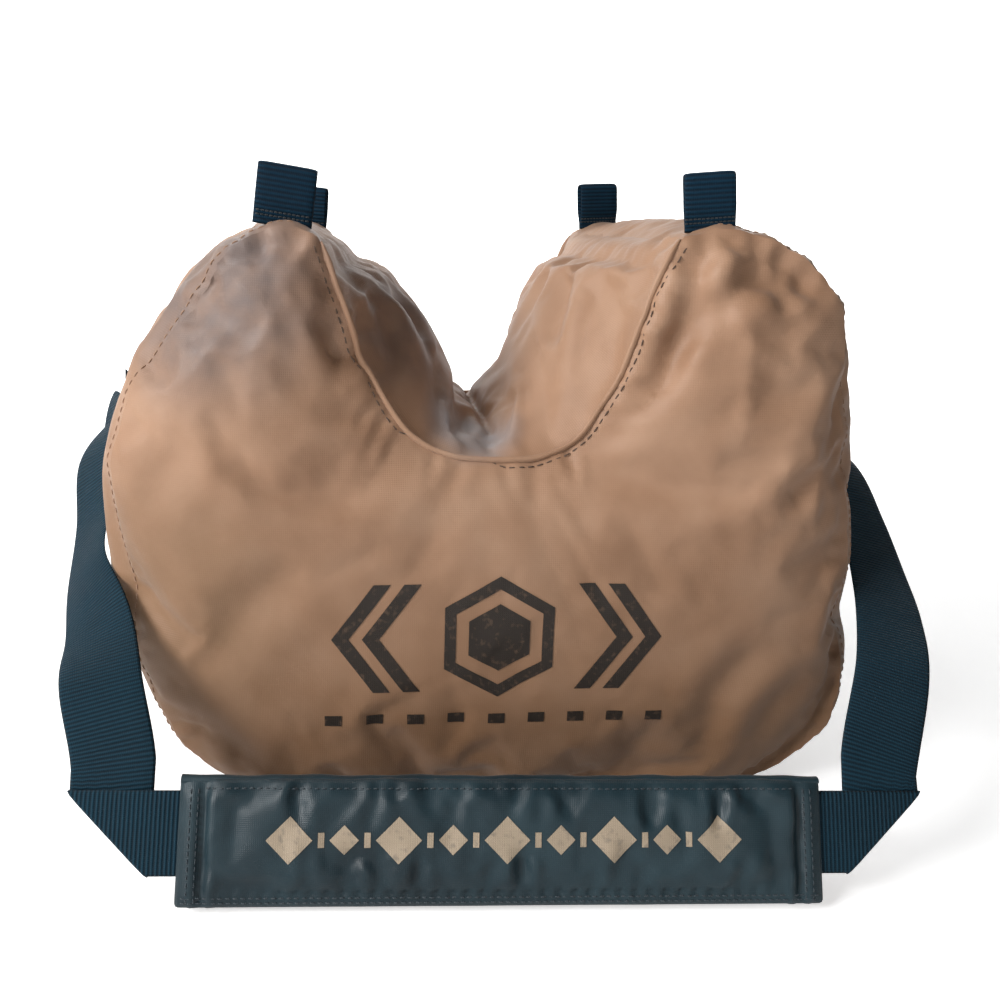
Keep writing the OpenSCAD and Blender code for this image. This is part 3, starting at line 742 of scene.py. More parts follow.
# Folds in the settled cloth: a smooth path over the surface, and the groove's depth and width.
FOLDS = [
    ([(-138, -109, 310), (-147, -114, 295), (-156, -114, 284), (-168, -111, 276)], 6.5, 8),
    ([(-143, -118, 284), (-150, -119, 273), (-162, -117, 264)], 4.0, 8),
    ([(-120, -106, 312), (-132, -115, 296), (-140, -120, 280)], 2.2, 7),
    ([(87, -77, 311), (93, -92, 316), (100, -98, 322)], 3.0, 5),
    ([(108, -98, 320), (101, -112, 300), (94, -114, 272), (82, -115, 238)], 5.5, 8),
    ([(86, -113, 260), (102, -118, 278), (122, -117, 296), (140, -110, 308)], 4.5, 9),
    ([(138, -104, 316), (154, -110, 306), (168, -110, 290)], 4.0, 7),
    ([(124, -104, 318), (140, -113, 302), (152, -117, 282)], 3.0, 8),
    ([(159, -124, 182), (173, -121, 192), (198, -108, 214)], 4.2, 10),
    ([(165, -124, 168), (182, -117, 176), (203, -105, 192)], 2.0, 8),
    ([(121, -122, 45), (130, -124, 77), (154, -124, 104)], 4.0, 13),
    ([(150, -118, 40), (166, -120, 66), (186, -114, 82)], 2.4, 11),
    ([(-98, -126, 155), (-128, -126, 128), (-158, -123, 90)], 3.4, 15),
    ([(-70, -124, 190), (-100, -125, 176), (-136, -124, 170)], 1.6, 14),
    ([(-166, -116, 60), (-146, -122, 48), (-124, -120, 30)], 2.4, 10),
    ([(-150, -121, 215), (-168, -118, 196), (-186, -113, 168)], 1.8, 12),
    ([(-79, -104, 285), (-76, -106, 262), (-66, -110, 236)], -2.6, 8),
    ([(-88, -100, 290), (-88, -108, 262), (-80, -113, 238)], 2.0, 8),
    ([(50, -110, 214), (66, -116, 224), (84, -118, 246)], 1.6, 9),
    ([(20, -108, 190), (24, -118, 168), (36, -124, 140)], 1.2, 10),
    ([(-22, -108, 190), (-34, -119, 166), (-40, -124, 140)], 1.2, 11),
    ([(32, -70, 255), (42, -43, 272), (62, -26, 298), (84, -34, 314)], 1.8, 8),
    ([(44, -92, 246), (56, -66, 262), (66, -52, 284)], 1.4, 7),
    ([(24, 10, 226), (34, 30, 246), (46, 58, 268)], 1.6, 8),
    ([(36, -20, 262), (52, 4, 288), (74, 12, 308)], 1.5, 7),
    ([(-60, -60, 300), (-46, -44, 272), (-40, -50, 244)], 3.0, 9),
    ([(-72, -84, 306), (-58, -74, 276), (-50, -84, 250)], 2.4, 8),
    ([(-50, -20, 292), (-38, -4, 262), (-30, 10, 232)], 2.6, 9),
    ([(-64, 30, 300), (-48, 40, 272), (-38, 60, 246)], 2.2, 9),
    ([(-30, -96, 214), (-20, -70, 206), (-16, -40, 204)], 2.0, 7),
    ([(10, -84, 196), (20, -60, 204), (34, -50, 226)], 1.4, 7),
    ([(210, 60, 230), (214, 20, 205), (214, -30, 190)], 2.4, 9),
    ([(204, 80, 160), (214, 40, 120), (208, -10, 80)], 2.2, 13),
    ([(176, -60, 284), (186, -20, 262), (204, 10, 240)], 2.6, 9),
    ([(150, -20, 306), (170, 20, 286), (190, 50, 258)], 2.2, 9),
    ([(196, -70, 90), (190, -20, 60), (170, 30, 30)], 2.2, 11),
    ([(-206, 60, 236), (-212, 20, 208), (-210, -30, 190)], 2.4, 9),
    ([(-202, 80, 150), (-208, 40, 118), (-202, -10, 84)], 2.2, 13),
    ([(-170, -60, 288), (-182, -20, 264), (-198, 10, 244)], 2.6, 9),
    ([(-150, 20, 306), (-168, 50, 284), (-180, 70, 262)], 2.0, 9),
    ([(-190, -70, 80), (-182, -20, 56), (-162, 30, 28)], 2.2, 11),
    ([(90, 116, 240), (110, 118, 262), (128, 112, 290)], 3.0, 9),
    ([(-90, 116, 236), (-112, 119, 262), (-130, 112, 292)], 3.0, 9),
    ([(-150, 124, 180), (-120, 126, 160), (-80, 126, 150)], 1.8, 14),
    ([(150, 124, 170), (118, 126, 150), (84, 126, 146)], 1.8, 14),
    ([(0, 112, 190), (6, 122, 166), (-4, 126, 140)], 1.6, 12),
    ([(140, 120, 40), (120, 124, 58), (90, 126, 62)], 1.8, 11),
    ([(-140, 120, 36), (-118, 124, 56), (-92, 126, 60)], 1.8, 11),
    ([(-104, 118, 316), (-106, 122, 292), (-96, 124, 262)], 3.6, 8),
    ([(94, 118, 318), (92, 122, 294), (84, 124, 264)], 3.6, 8),
    ([(-126, 116, 312), (-146, 118, 292), (-170, 114, 270)], 4.2, 8),
    ([(112, 116, 314), (136, 118, 294), (166, 114, 270)], 4.2, 8),
    ([(-60, 122, 232), (-82, 126, 212), (-118, 126, 200)], 2.6, 12),
    ([(62, 122, 234), (86, 126, 214), (120, 126, 206)], 2.6, 12),
    ([(-108, 126, 96), (-130, 125, 86), (-158, 120, 66)], 3.0, 10),
    ([(108, 126, 96), (132, 125, 108), (162, 122, 116)], 3.0, 10),
    ([(-50, 126, 60), (-10, 126, 42), (36, 124, 32)], 2.2, 12),
    ([(-172, 112, 214), (-150, 122, 190), (-140, 126, 150)], 2.6, 13),
    ([(170, 112, 210), (150, 122, 184), (146, 126, 150)], 2.6, 13),
]


def press_fold(points, normals, path, depth, width, lip=0.4, cloth=None):
    """Presses one groove with a raised lip on either side, tapering away at both ends."""
    path = np.asarray(path, float)
    reach = np.linalg.norm(np.ptp(path, axis=0)) + 4 * width
    close = np.nonzero(np.linalg.norm(points - path.mean(0), axis=1) < reach)[0]
    track = curve_at(path, np.linspace(0, 1, 40))
    if cloth:
        track = cloth.lay(track)[0]
    gap = np.linalg.norm(points[close][:, None] - track[None], axis=2)
    at, gap = gap.argmin(1) / (len(track) - 1), gap.min(1)
    taper = ramp(0.25 + 3 * np.minimum(at, 1 - at))
    shape = lip * np.exp(-((gap - 2 * width) / width)**2) - np.exp(-(gap / width)**2)
    facing = normals[close] @ unit(normals[close][gap.argmin()]) > 0.2
    points[close] += normals[close] * (depth * taper * shape * facing)[:, None]


def press_folds(bag):
    points, normals = points_of(bag.data), normals_of(bag.data)
    cloth = Cloth(bag)
    for path, depth, width in FOLDS:
        press_fold(points, normals, path, depth * FOLD_DEPTH, width * FOLD_WIDTH, cloth=cloth)
    put_points(bag.data, points)


def seam_chain(bag, depth, panels):
    """The points along a seam: where the flat depth is this, on these panels, in order of length."""
    mesh = bag.data
    uvs, corner = flat_map(mesh) / MM, corners_of(mesh)
    found = {}
    for face in mesh.polygons:
        if face.material_index in panels:
            for i in face.loop_indices:
                if abs(uvs[i, 1] - depth) < 0.5:
                    found[int(corner[i])] = uvs[i, 0]
    order = sorted(found, key=found.get)
    return points_of(mesh)[order], normals_of(mesh)[order]


def even_path(path, step):
    """The path with points at an even step, and its whole length."""
    lengths = np.concatenate([[0], np.cumsum(np.linalg.norm(np.diff(path, axis=0), axis=1))])
    at = np.linspace(0, lengths[-1], max(2, round(lengths[-1] / step)) + 1)
    return np.column_stack([np.interp(at, lengths, path[:, k]) for k in range(path.shape[1])]), lengths[-1]


BAG_MIDDLE = np.array([0.0, 0.0, 150.0])
# The range of each pleat's reach, skew, depth and width, and of the gap to the next.
PLEAT_REACH, PLEAT_SKEW, PLEAT_DEPTH, PLEAT_WIDTH = (10, 30), (-0.5, 0.5), (0.5, 1.5), (2.6, 4.6)
PLEAT_GAP = (9, 26)
PLEAT_FIRST = 12.0       # from the end of a seam to its first pleat


def pucker_seams(bag):
    """Short pleats that run off each seam, at uneven steps, deepest at the seam."""
    points, normals = points_of(bag.data), normals_of(bag.data)
    round_the_outside = (BASE, *SIDE_PANELS)
    for panels, depth in (((SADDLE,), -SEAM_DEPTH), ((SADDLE,), SEAM_DEPTH),
                          (round_the_outside, -SEAM_DEPTH), (round_the_outside, SEAM_DEPTH)):
        chain, _ = seam_chain(bag, depth, panels)
        chain, length = even_path(chain, 3.0)
        at = PLEAT_FIRST
        while at < length - PLEAT_FIRST:
            i = int(at / length * (len(chain) - 1))
            here = chain[i]
            run = unit(chain[min(i + 1, len(chain) - 1)] - chain[max(i - 1, 0)])
            face_way = np.array([0.0, math.copysign(1, depth), 0.0])
            into = unit(np.cross(run, face_way))
            if panels == (SADDLE,):
                inward = into[2] < 0 or into @ (here * np.array([1, 0, 0])) > 0
            else:
                inward = into @ (BAG_MIDDLE - here) > 0
            into = into if inward else -into
            reach = rng.uniform(*PLEAT_REACH)
            skew = rng.uniform(*PLEAT_SKEW)
            size = rng.uniform(*PLEAT_DEPTH) * (here[2] > 4)
            ends = [here, here + (into + skew * run) * reach / 2 + face_way * reach * 0.18,
                    here + (into + 1.4 * skew * run) * reach + face_way * reach * 0.3]
            press_fold(points, normals, ends, size, rng.uniform(*PLEAT_WIDTH), lip=0.5)
            at += rng.uniform(*PLEAT_GAP)
    points[:, 2] = np.maximum(points[:, 2], 0)
    put_points(bag.data, points)


def flat_size(mesh):
    """Width, height and area of the flat cloth that a panel was cut from, in metres."""
    uvs = flat_map(mesh)
    area = 0.0
    for face in mesh.polygons:
        x, y = uvs[list(face.loop_indices)].T
        area += abs((x * np.roll(y, -1) - y * np.roll(x, -1)).sum()) / 2
    return tuple(float(v) for v in np.ptp(uvs, axis=0)), float(area)


def panel_piece(bag, number, material):
    """One panel of the cover as a piece of its own, in place of its CAD node."""
    solid = bmesh.new()
    solid.from_mesh(bag.data)
    bmesh.ops.delete(solid, geom=[f for f in solid.faces if f.material_index != number], context="FACES")
    for face in solid.faces:
        face.material_index = 0
    name = "cloth_" + PANELS[number]
    mesh = bpy.data.meshes.new(name)
    solid.to_mesh(mesh)
    solid.free()
    mesh.materials.append(material)
    piece = place_object(name, mesh)
    flat, area = flat_size(mesh)
    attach(piece, "bag")
    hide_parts(PANELS[number])
    return smooth(piece)


# ---- Webbing, ropes of cloth and stitches ----
def own(piece, body, slot, material, *nodes):
    """Rides a piece on a body, gives it its look, and hides the CAD nodes that it stands for."""
    piece.data.materials.clear()
    piece.data.materials.append(material)
    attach(piece, body)
    if nodes:
        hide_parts(*nodes)
    return smooth(piece)


def tube_faces(rings, sides):
    """Faces round a tube of rings, with a cap at each end."""
    faces = []
    for i in range(rings - 1):
        for j in range(sides):
            a, b = i * sides + j, i * sides + (j + 1) % sides
            faces.append((a, b, b + sides, a + sides))
    return faces + [tuple(range(sides))[::-1], tuple((rings - 1) * sides + j for j in range(sides))]


WEB_ACROSS = 9


def webbing(name, rings, thickness):
    """Webbing through rings of (one edge, the other edge, way that its face points, slant). The
    slant is how much further along the webbing its other edge is than its middle, where it is cut
    or folded at an angle, and it may be left out."""
    u = np.sin(np.linspace(-1, 1, WEB_ACROSS) * math.pi / 2)
    half = thickness / 2 * np.sqrt(np.maximum(1 - np.abs(u)**8, 0.0))
    verts, uvs, length, last = [], [], 0.0, None
    for a, b, normal, *slant in rings:
        middle, wide = (a + b) / 2, (b - a) / 2
        length += 0 if last is None else np.linalg.norm(middle - last)
        last = middle
        top = middle + np.outer(u, wide) + np.outer(half, normal)
        low = middle + np.outer(u, wide) - np.outer(half, normal)
        verts += [*top, *low[-2:0:-1]]
        across = u * (STRAP_W / 2 if slant else np.linalg.norm(wide))
        along = length + u * sum(slant)
        uvs += [*zip(across, along), *zip(across[-2:0:-1], along[-2:0:-1])]
    made = mesh_object(name, verts, tube_faces(len(rings), 2 * WEB_ACROSS - 2), np.array(uvs) * MM)
    return made, length


def frames_along(path, up):
    """Unit directions along, sideways and up at each point of a path."""
    along = unit(np.gradient(path, axis=0))
    side = unit(np.cross(along, up))
    return along, side, np.cross(side, along)


ROPE_SIDES = 10


def rope(name, path, up, wide, high, uneven):
    """A soft roll with an oval section along a path. up points away from what it lies on."""
    _, side, rise = frames_along(path, up)
    angle = np.linspace(0, 2 * math.pi, ROPE_SIDES, endpoint=False)
    swell = 1 + uneven * np.interp(np.arange(len(path)), np.arange(0, len(path) + 4, 3),
                                   rng.uniform(-1, 1, len(np.arange(0, len(path) + 4, 3))))
    taper = np.minimum(1, 0.3 + np.minimum(np.arange(len(path)), np.arange(len(path))[::-1]) / 4)
    verts = []
    for p, s, r, k, t in zip(path, side, rise, swell, taper):
        verts += list(p + t * k * (np.outer(np.cos(angle) * wide, s) + np.outer(np.sin(angle) * high, r)))
    lengths = np.repeat(np.arange(len(path)) * np.linalg.norm(path[1] - path[0]), ROPE_SIDES)
    uvs = np.column_stack([np.tile(angle * wide, len(path)), lengths]) * MM
    return mesh_object(name, verts, tube_faces(len(path), ROPE_SIDES), uvs)


def stitches(name, runs, pitch, length, radius):
    """Rows of thread stitches. Each run is (points along the row, way that the cloth faces there)."""
    verts, faces = [], []
    bend = np.array([-1.0, -0.85, -0.5, 0.0, 0.5, 0.85, 1.0])
    fat = np.array([0.25, 0.8, 1.0, 1.0, 1.0, 0.8, 0.25])
    sides = 6
    angle = np.linspace(0, 2 * math.pi, sides, endpoint=False)
    for path, up in runs:
        both, _ = even_path(np.hstack([path, up]), 0.8)
        line, facing = both[:, :3], unit(both[:, 3:])
        reach = np.concatenate([[0], np.cumsum(np.linalg.norm(np.diff(line, axis=0), axis=1))])
        for middle in np.arange(pitch / 2, reach[-1] - length / 2, pitch):
            at = middle + bend * length / 2
            p = np.column_stack([np.interp(at, reach, line[:, k]) for k in range(3)])
            n = unit(np.column_stack([np.interp(at, reach, facing[:, k]) for k in range(3)]))
            _, side, rise = frames_along(p, n)
            p = p + n * (radius * (0.75 - 1.3 * np.abs(bend)**3))[:, None]
            base = len(verts)
            for q, s, r, f in zip(p, side, rise, fat):
                verts += list(q + radius * f * (np.outer(np.cos(angle), s) + np.outer(np.sin(angle), r)))
            faces += [[base + i for i in face] for face in tube_faces(len(bend), sides)]
    return mesh_object(name, verts, faces)


class Cloth:
    """The finished surface of the bag, for laying things on it."""

    def __init__(self, obj):
        self.tree = BVHTree.FromPolygons(points_of(obj.data).tolist(),
                                         [tuple(p.vertices) for p in obj.data.polygons])

    def lay(self, points):
        """The nearest points on the cloth, and the way that it faces there."""
        found = [self.tree.find_nearest(Vector(p)) for p in points]
        return np.array([spot for spot, _, _, _ in found]), unit(np.array([way for _, way, _, _ in found]))

    def cast(self, points, way, proud=0.0):
        """Where rays from the points meet the cloth."""
        spots, facing = [], []
        for p in points:
            spot, normal, _, _ = self.tree.ray_cast(Vector(p), Vector(way))
            spots.append(spot if spot else p)
            facing.append(normal if normal else -np.asarray(way, float))
        spots, facing = np.array(spots), unit(np.array(facing))
        return spots + facing * proud, facing


def steady(rows, rounds):
    """Smooths a path's points without moving its ends."""
    rows = rows.copy()
    for _ in range(rounds):
        rows[1:-1] = (rows[:-2] + 2 * rows[1:-1] + rows[2:]) / 4
    return rows


# ---- The bag ----
WELT_W = 1.5
WELT_H = 2.0
SEAM_STITCH_IN = 4.2      # distance of the stitch line from the saddle seam


def saddle_lips(bag, cloth):
    """The rolled lip of each saddle seam, with its line of stitches on the face below it."""
    for place, side in (("front", -1), ("back", 1)):
        chain, facing = seam_chain(bag, side * SEAM_DEPTH, (SADDLE,))
        both, _ = even_path(np.hstack([chain, facing]), 3.0)
        both = steady(both, 4)[1:-1]
        chain, facing = both[:, :3], unit(both[:, 3:])
        own(rope(place + "_saddle_lip", chain + facing * 0.9, facing, WELT_W, WELT_H, uneven=0.08),
            "bag", "cover_cloth", COVER, place + "_saddle_welt")
        along = unit(np.gradient(chain, axis=0))
        out = np.array([0.0, side, 0.0])
        down = unit(np.cross(along, out))
        away = np.sign(chain[:, 0]) * (down[:, 0] - down[:, 2])
        down *= np.sign(away + 1e-6)[:, None]
        row, up = cloth.lay(chain + down * SEAM_STITCH_IN + out)
        row = steady(row, 3)
        own(stitches(place + "_saddle_stitches", [(row, up)], 5.2, 3.7, 0.42), "bag", "cover_cloth",
            TAN_THREAD)


SIDE_STITCH_IN = 5.5      # distance of the stitch line from the outer seam
SIDE_STITCH_GAP = 8.0     # how far above the base's corner, and
TIP_STITCH_GAP = 14.0     # how far below the horn's inner corner, the line ends


def side_seam_stitches(bag, cloth):
    """A row of stitches beside each outer seam, on the side panels, found on their flat map."""
    mesh = bag.data
    points = points_of(mesh)
    on_sides = [i for face in mesh.polygons if face.material_index in SIDE_PANELS for i in face.loop_indices]
    flat, spot = flat_map(mesh)[on_sides] / MM, corners_of(mesh)[on_sides]
    tree = KDTree(len(flat))
    for i, (u, v) in enumerate(flat):
        tree.insert((u, v, 0), i)
    tree.balance()
    runs = []
    for side in (-1, 1):
        whole = flat[:, 0].max()
        for low, high in ((TIP_STITCH_GAP, whole / 2 - BASE_HALF - SIDE_STITCH_GAP),
                          (whole / 2 + BASE_HALF + SIDE_STITCH_GAP, whole - TIP_STITCH_GAP)):
            row = []
            for u in np.arange(low, high, 3.0):
                near = tree.find_n((u, side * (SEAM_DEPTH - SIDE_STITCH_IN), 0), 8)
                weight = np.array([1 / (0.3 + gap) for _, _, gap in near])
                row.append(weight @ points[[spot[i] for _, i, _ in near]] / weight.sum())
            runs.append(cloth.lay(steady(np.array(row), 4)))
    own(stitches("side_seam_stitches", runs, 5.0, 3.5, 0.4), "bag", "cover_cloth", PALE_THREAD)


ANCHOR_L = 36.0
# A box and a cross, as shares of half of the webbing's width and of the patch's length.
BOX_AND_CROSS = [(-0.8, 0.08), (0.8, 0.08), (0.8, 0.92), (-0.8, 0.92), (-0.8, 0.08), (0.8, 0.92), (0.8, 0.08),
                 (-0.8, 0.92)]
CLEAR_OF_BAG = 90.0       # how far outside the bag's flank a ray towards it starts
ANCHOR_T = 1.8            # thickness of each sewn end


def strap_anchors(cloth):
    """The sewn ends of the strap, flat on the bag's sides, each with a box of stitches and a cross."""
    for place, side in (("left", -1), ("right", 1)):
        top = np.array(LEG_ROUTES[side][0], float) * [side, 1, 1]
        down = unit((np.array(LEG_ROUTES[side][1]) - LEG_ROUTES[side][0]) * [0, 1, 1])
        across = np.cross([side, 0, 0], down) * STRAP_W / 2
        rings = []
        for reach in np.linspace(-3, ANCHOR_L, 16):
            line = top + down * reach + [side * CLEAR_OF_BAG, 0, 0]
            spots, facing = cloth.cast([line, line - across, line + across], (-side, 0, 0))
            lift = facing[0] * ANCHOR_T / 2
            wide = unit(spots[2] - spots[1]) * STRAP_W / 2
            rings.append((spots[0] + lift - wide, spots[0] + lift + wide, facing[0]))
        piece, _ = webbing("strap_end_" + place, rings, ANCHOR_T)
        own(piece, "bag", "webbing", STRAP_WEB, "strap_anchor_" + place)
        runs = []
        for (u0, v0), (u1, v1) in zip(BOX_AND_CROSS, BOX_AND_CROSS[1:]):
            path, up = [], []
            for t in np.linspace(0, 1, 16):
                u, v = u0 + (u1 - u0) * t, (v0 + (v1 - v0) * t) * (len(rings) - 1)
                i = min(int(v), len(rings) - 2)
                a, b, n = (lerp(p, q, v - i) for p, q in zip(rings[i], rings[i + 1]))
                path.append((a + b) / 2 + u * (b - a) / 2 + n * 0.85)
                up.append(n)
            runs.append((np.array(path), np.array(up)))
        own(stitches("strap_end_stitches_" + place, runs, 3.4, 2.5, 0.35), "bag", "webbing", DARK_THREAD)


INSIDE_KEEP = 0.16        # the share of its faces that each unseen inner piece keeps


def bag_inside(bag):
    """The liner and its filling of beads, just under the cover."""
    for name, node, depth, material, slot in (
            ("liner_bag", "inner_liner", 3.0, LINER, "liner_cloth"),
            ("bead_filling", "bead_fill", 4.4, bead_material(), "bead_fill")):
        mesh = bag.data.copy()
        mesh.name = name
        piece = place_object(name, mesh)
        inward = relax(normals_of(mesh), links_of(mesh), 6)
        points = relax(points_of(mesh), links_of(mesh), 3) - unit(inward) * depth
        points[:, 2] = np.maximum(points[:, 2], 0.4 + 0.3 * depth)
        put_points(mesh, points)
        thin = piece.modifiers.new("thin", "DECIMATE")
        thin.ratio = INSIDE_KEEP
        apply_modifiers(piece)
        piece.data.name = name
        for face in piece.data.polygons:
            face.material_index = 0
        own(piece, "bag", slot, material, node)


# ---- Tie loops ----
LOOP_T = 1.5
LOOP_H = 31.0
LOOP_HALF = 4.3
LOOP_FOOT_R = 1.7
LOOP_SWELL_Z = 10.0
LOOP_ROWS = (1.6, 3.6)    # heights of the stitches across each foot
LOOP_ROW_HALF = 13.5      # and half of their length
LOOP_SHORT = 4.0          # the part of each loop that the gathered cloth round its foot hides
# Each loop's lean and turn about its foot, how far the cloth lifts it, and the width that it shows.
LOOP_LEANS = {"front_left": (7.0, 4.0, 0.0, 29.0), "front_right": (-6.0, -9.0, 6.0, 26.5),
              "rear_left": (3.0, -8.0, -4.0, 28.5), "rear_right": (-4.0, 10.0, 6.0, 27.0)}


def tie_loops():
    """Folded webbing sewn into the horn tips. Each leans a little, as the cloth pulls it."""
    turn = LOOP_HALF - LOOP_T / 2
    rise = np.linspace(-3.0, LOOP_H - LOOP_HALF - LOOP_SHORT, 14)
    edge = LOOP_FOOT_R + (LOOP_HALF - LOOP_FOOT_R) * ramp(rise / LOOP_SWELL_Z) - LOOP_T / 2
    arc = np.linspace(0, math.pi, 13)[1:-1]
    y = np.concatenate([-edge, -turn * np.cos(arc), edge[::-1]])
    z = np.concatenate([rise, rise[-1] + turn * np.sin(arc), rise[::-1]])
    path = np.column_stack([np.zeros_like(y), y, z])
    out = unit(np.cross(np.gradient(path, axis=0), [-1.0, 0, 0]))
    for place, (lean, yaw, lift, width) in LOOP_LEANS.items():
        low, high = (np.array(v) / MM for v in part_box("tie_loop_" + place))
        foot = np.array([(low[0] + high[0]) / 2, (low[1] + high[1]) / 2, high[2] - LOOP_H + lift])
        tilt = np.array(Matrix.Rotation(math.radians(lean), 3, "Y")
                        @ Matrix.Rotation(math.radians(yaw), 3, "Z"))
        wide = tilt @ np.array([width / 2, 0, 0])
        rings = [(foot + tilt @ p - wide, foot + tilt @ p + wide, tilt @ n) for p, n in zip(path, out)]
        piece, length = webbing("webbing_loop_" + place, rings, LOOP_T)
        own(piece, "loop_" + place, "webbing", LOOP_WEB, "tie_loop_" + place)
        runs = []
        for height in LOOP_ROWS:
            for face in (-1, 1):
                half = LOOP_FOOT_R + (LOOP_HALF - LOOP_FOOT_R) * ramp(height / LOOP_SWELL_Z)
                row = np.array([[x, face * half, height]
                                for x in np.linspace(-LOOP_ROW_HALF, LOOP_ROW_HALF, 12)])
                runs.append(((tilt @ row.T).T + foot, np.tile(tilt @ np.array([0, face, 0]), (12, 1))))
        own(stitches("loop_stitches_" + place, runs, 2.2, 1.9, 0.35), "loop_" + place, "webbing",
            DARK_THREAD)


# ---- The carrying strap and its pad ----
PAD_W, PAD_H, PAD_T = 316.0, 60.0, 8.0
PAD_LEAN = math.radians(24)
PAD_TURN = math.radians(3.5)
PAD_FOOT = np.array([0.0, -208.0, 3.6])
STRAP_W, STRAP_T = 40.0, 1.6
LAYER = 1.0              # how far each layer of a fold is from the middle of it
FOLD_H = 14.0            # height of the strap's lower edge on the pad
FOLD_X = 171.0           # and how far out along the pad it folds
# Each leg's route from its sewn end, mirrored for the left one, and its turn in degrees on the way.
LEG_ROUTES = {
    -1: [(219, 16, 222), (223, 4, 203), (228, -12, 182), (225, -38, 152), (222, -72, 128), (208, -110, 112),
         (198, -148, 96)],
    1: [(219, 16, 222), (231, 2, 205), (238, -18, 184), (242, -44, 156), (240, -76, 132), (232, -112, 114),
        (217, -150, 96)]}
LEG_TURNS = {-1: [0, 28, 42, 40, 40, 62, 86, 90, 90], 1: [0, 28, 54, 68, 76, 84, 90, 90, 90]}
LEG_PROUD = (2.9, 9.0)   # how far off the cloth the first two points of a route are
LEG_END = 7 / 8          # the share of the curve that a leg uses; its last span is inside the fold
STRAP_HINGE = (0.0, 200.0)   # y and z of the line that the strap turns about
ROOT_UNDER = 1.7         # how far the root's lower end lies under the turning part
LEG_STEPS = 84


def leaned(x, d, h):
    """A point of the pad's own frame: along it, depth towards the bag, and height."""
    y = d * math.cos(PAD_LEAN) + h * math.sin(PAD_LEAN)
    z = h * math.cos(PAD_LEAN) - d * math.sin(PAD_LEAN)
    return np.stack([x * math.cos(PAD_TURN) + y * math.sin(PAD_TURN) + PAD_FOOT[0],
                     PAD_FOOT[1] - x * math.sin(PAD_TURN) + y * math.cos(PAD_TURN),
                     PAD_FOOT[2] + z + 0 * x], axis=-1)


PAD_BACK_WAY = leaned(0.0, 1.0, 0.0) - leaned(0.0, 0.0, 0.0)


def leg_rings(side, cloth):
    """The strap from its sewn end down to its fold, along its route and turned as it goes."""
    points = [np.array(p, float) * [side, 1, 1] for p in LEG_ROUTES[side]]
    for i, proud in enumerate(LEG_PROUD):
        spot = cloth.cast([points[i] + [side * CLEAR_OF_BAG, 0, 0]], (-side, 0, 0))[0][0]
        points[i] = spot + [side * proud, 0, 0]
    points += [leaned(side * (FOLD_X + STRAP_W / 2), LAYER, FOLD_H + h) for h in (STRAP_W + 12, STRAP_W / 2)]
    turns = np.reshape(LEG_TURNS[side], (-1, 1))
    out = np.array([side, 0.0, 0.0])
    rings = []
    for s in np.linspace(0, LEG_END, LEG_STEPS + 1):
        here = curve_at(points, s)[0]
        rise = unit(curve_at(points, max(0, s - 0.02))[0] - curve_at(points, min(1, s + 0.02))[0])
        turn = math.radians(curve_at(turns, s)[0][0])
        raw = math.sin(turn) * out - math.cos(turn) * side * unit(np.cross(out, rise))
        wide = unit(raw - raw @ rise * rise)
        rings.append((here - wide * STRAP_W / 2, here + wide * STRAP_W / 2, side * np.cross(rise, wide)))
    return rings


def part_at_hinge(rings):
    """The strap's root, which stays on the bag, and the rest of it, which turns. The rest begins at
    the hinge with a half-round end that lies over the root, so that they stay joined as it turns."""
    middles = np.array([(a + b) / 2 for a, b, _ in rings])
    at = int(np.argmin(np.linalg.norm(middles[:, 1:] - STRAP_HINGE, axis=1)))
    root = []
    for i, (a, b, inward) in enumerate(rings[:at + 1]):
        under = inward * ROOT_UNDER * i / at
        root.append((a + under, b + under, inward))
    a, b, inward = rings[at]
    up = unit((middles[at - 1] - middles[at]) * [0, 1, 1])
    tip = []
    for angle in np.linspace(math.pi / 2 - 0.05, 0, 10, endpoint=False):
        centre = middles[at] + up * math.sin(angle) * STRAP_W / 2
        wide = (b - a) / 2 * math.cos(angle)
        tip.append((centre - wide, centre + wide, inward))
    return root, tip + rings[at:]


def strap(cloth):
    """One length of webbing, folded square at each lower corner, that runs through the pad."""
    whole = []
    for place, side in (("right", 1), ("left", -1)):
        way = unit(leaned(float(side), 0.0, -1.0) - leaned(0.0, 0.0, 0.0))
        root, half = part_at_hinge(leg_rings(side, cloth))
        own(webbing("strap_root_" + place, root, STRAP_T)[0], "bag", "webbing", STRAP_WEB)
        for angle in np.linspace(0, math.pi, 9):
            d, out = LAYER * math.cos(angle), LAYER * math.sin(angle)
            normal = math.cos(angle) * PAD_BACK_WAY + math.sin(angle) * way
            half.append((leaned(side * FOLD_X, d, FOLD_H) + out * way,
                         leaned(side * (FOLD_X + STRAP_W), d, FOLD_H + STRAP_W) + out * way, normal,
                         -side * STRAP_W / 2))
        for x in np.linspace(FOLD_X - 4, 4, 40):
            half.append((leaned(side * x, -LAYER, FOLD_H), leaned(side * x, -LAYER, FOLD_H + STRAP_W),
                         -PAD_BACK_WAY))
        whole = half if side == 1 else whole + half[::-1]
    piece, length = webbing("carrying_strap", whole, STRAP_T)
    own(piece, "strap", "webbing", STRAP_WEB, "shoulder_strap")


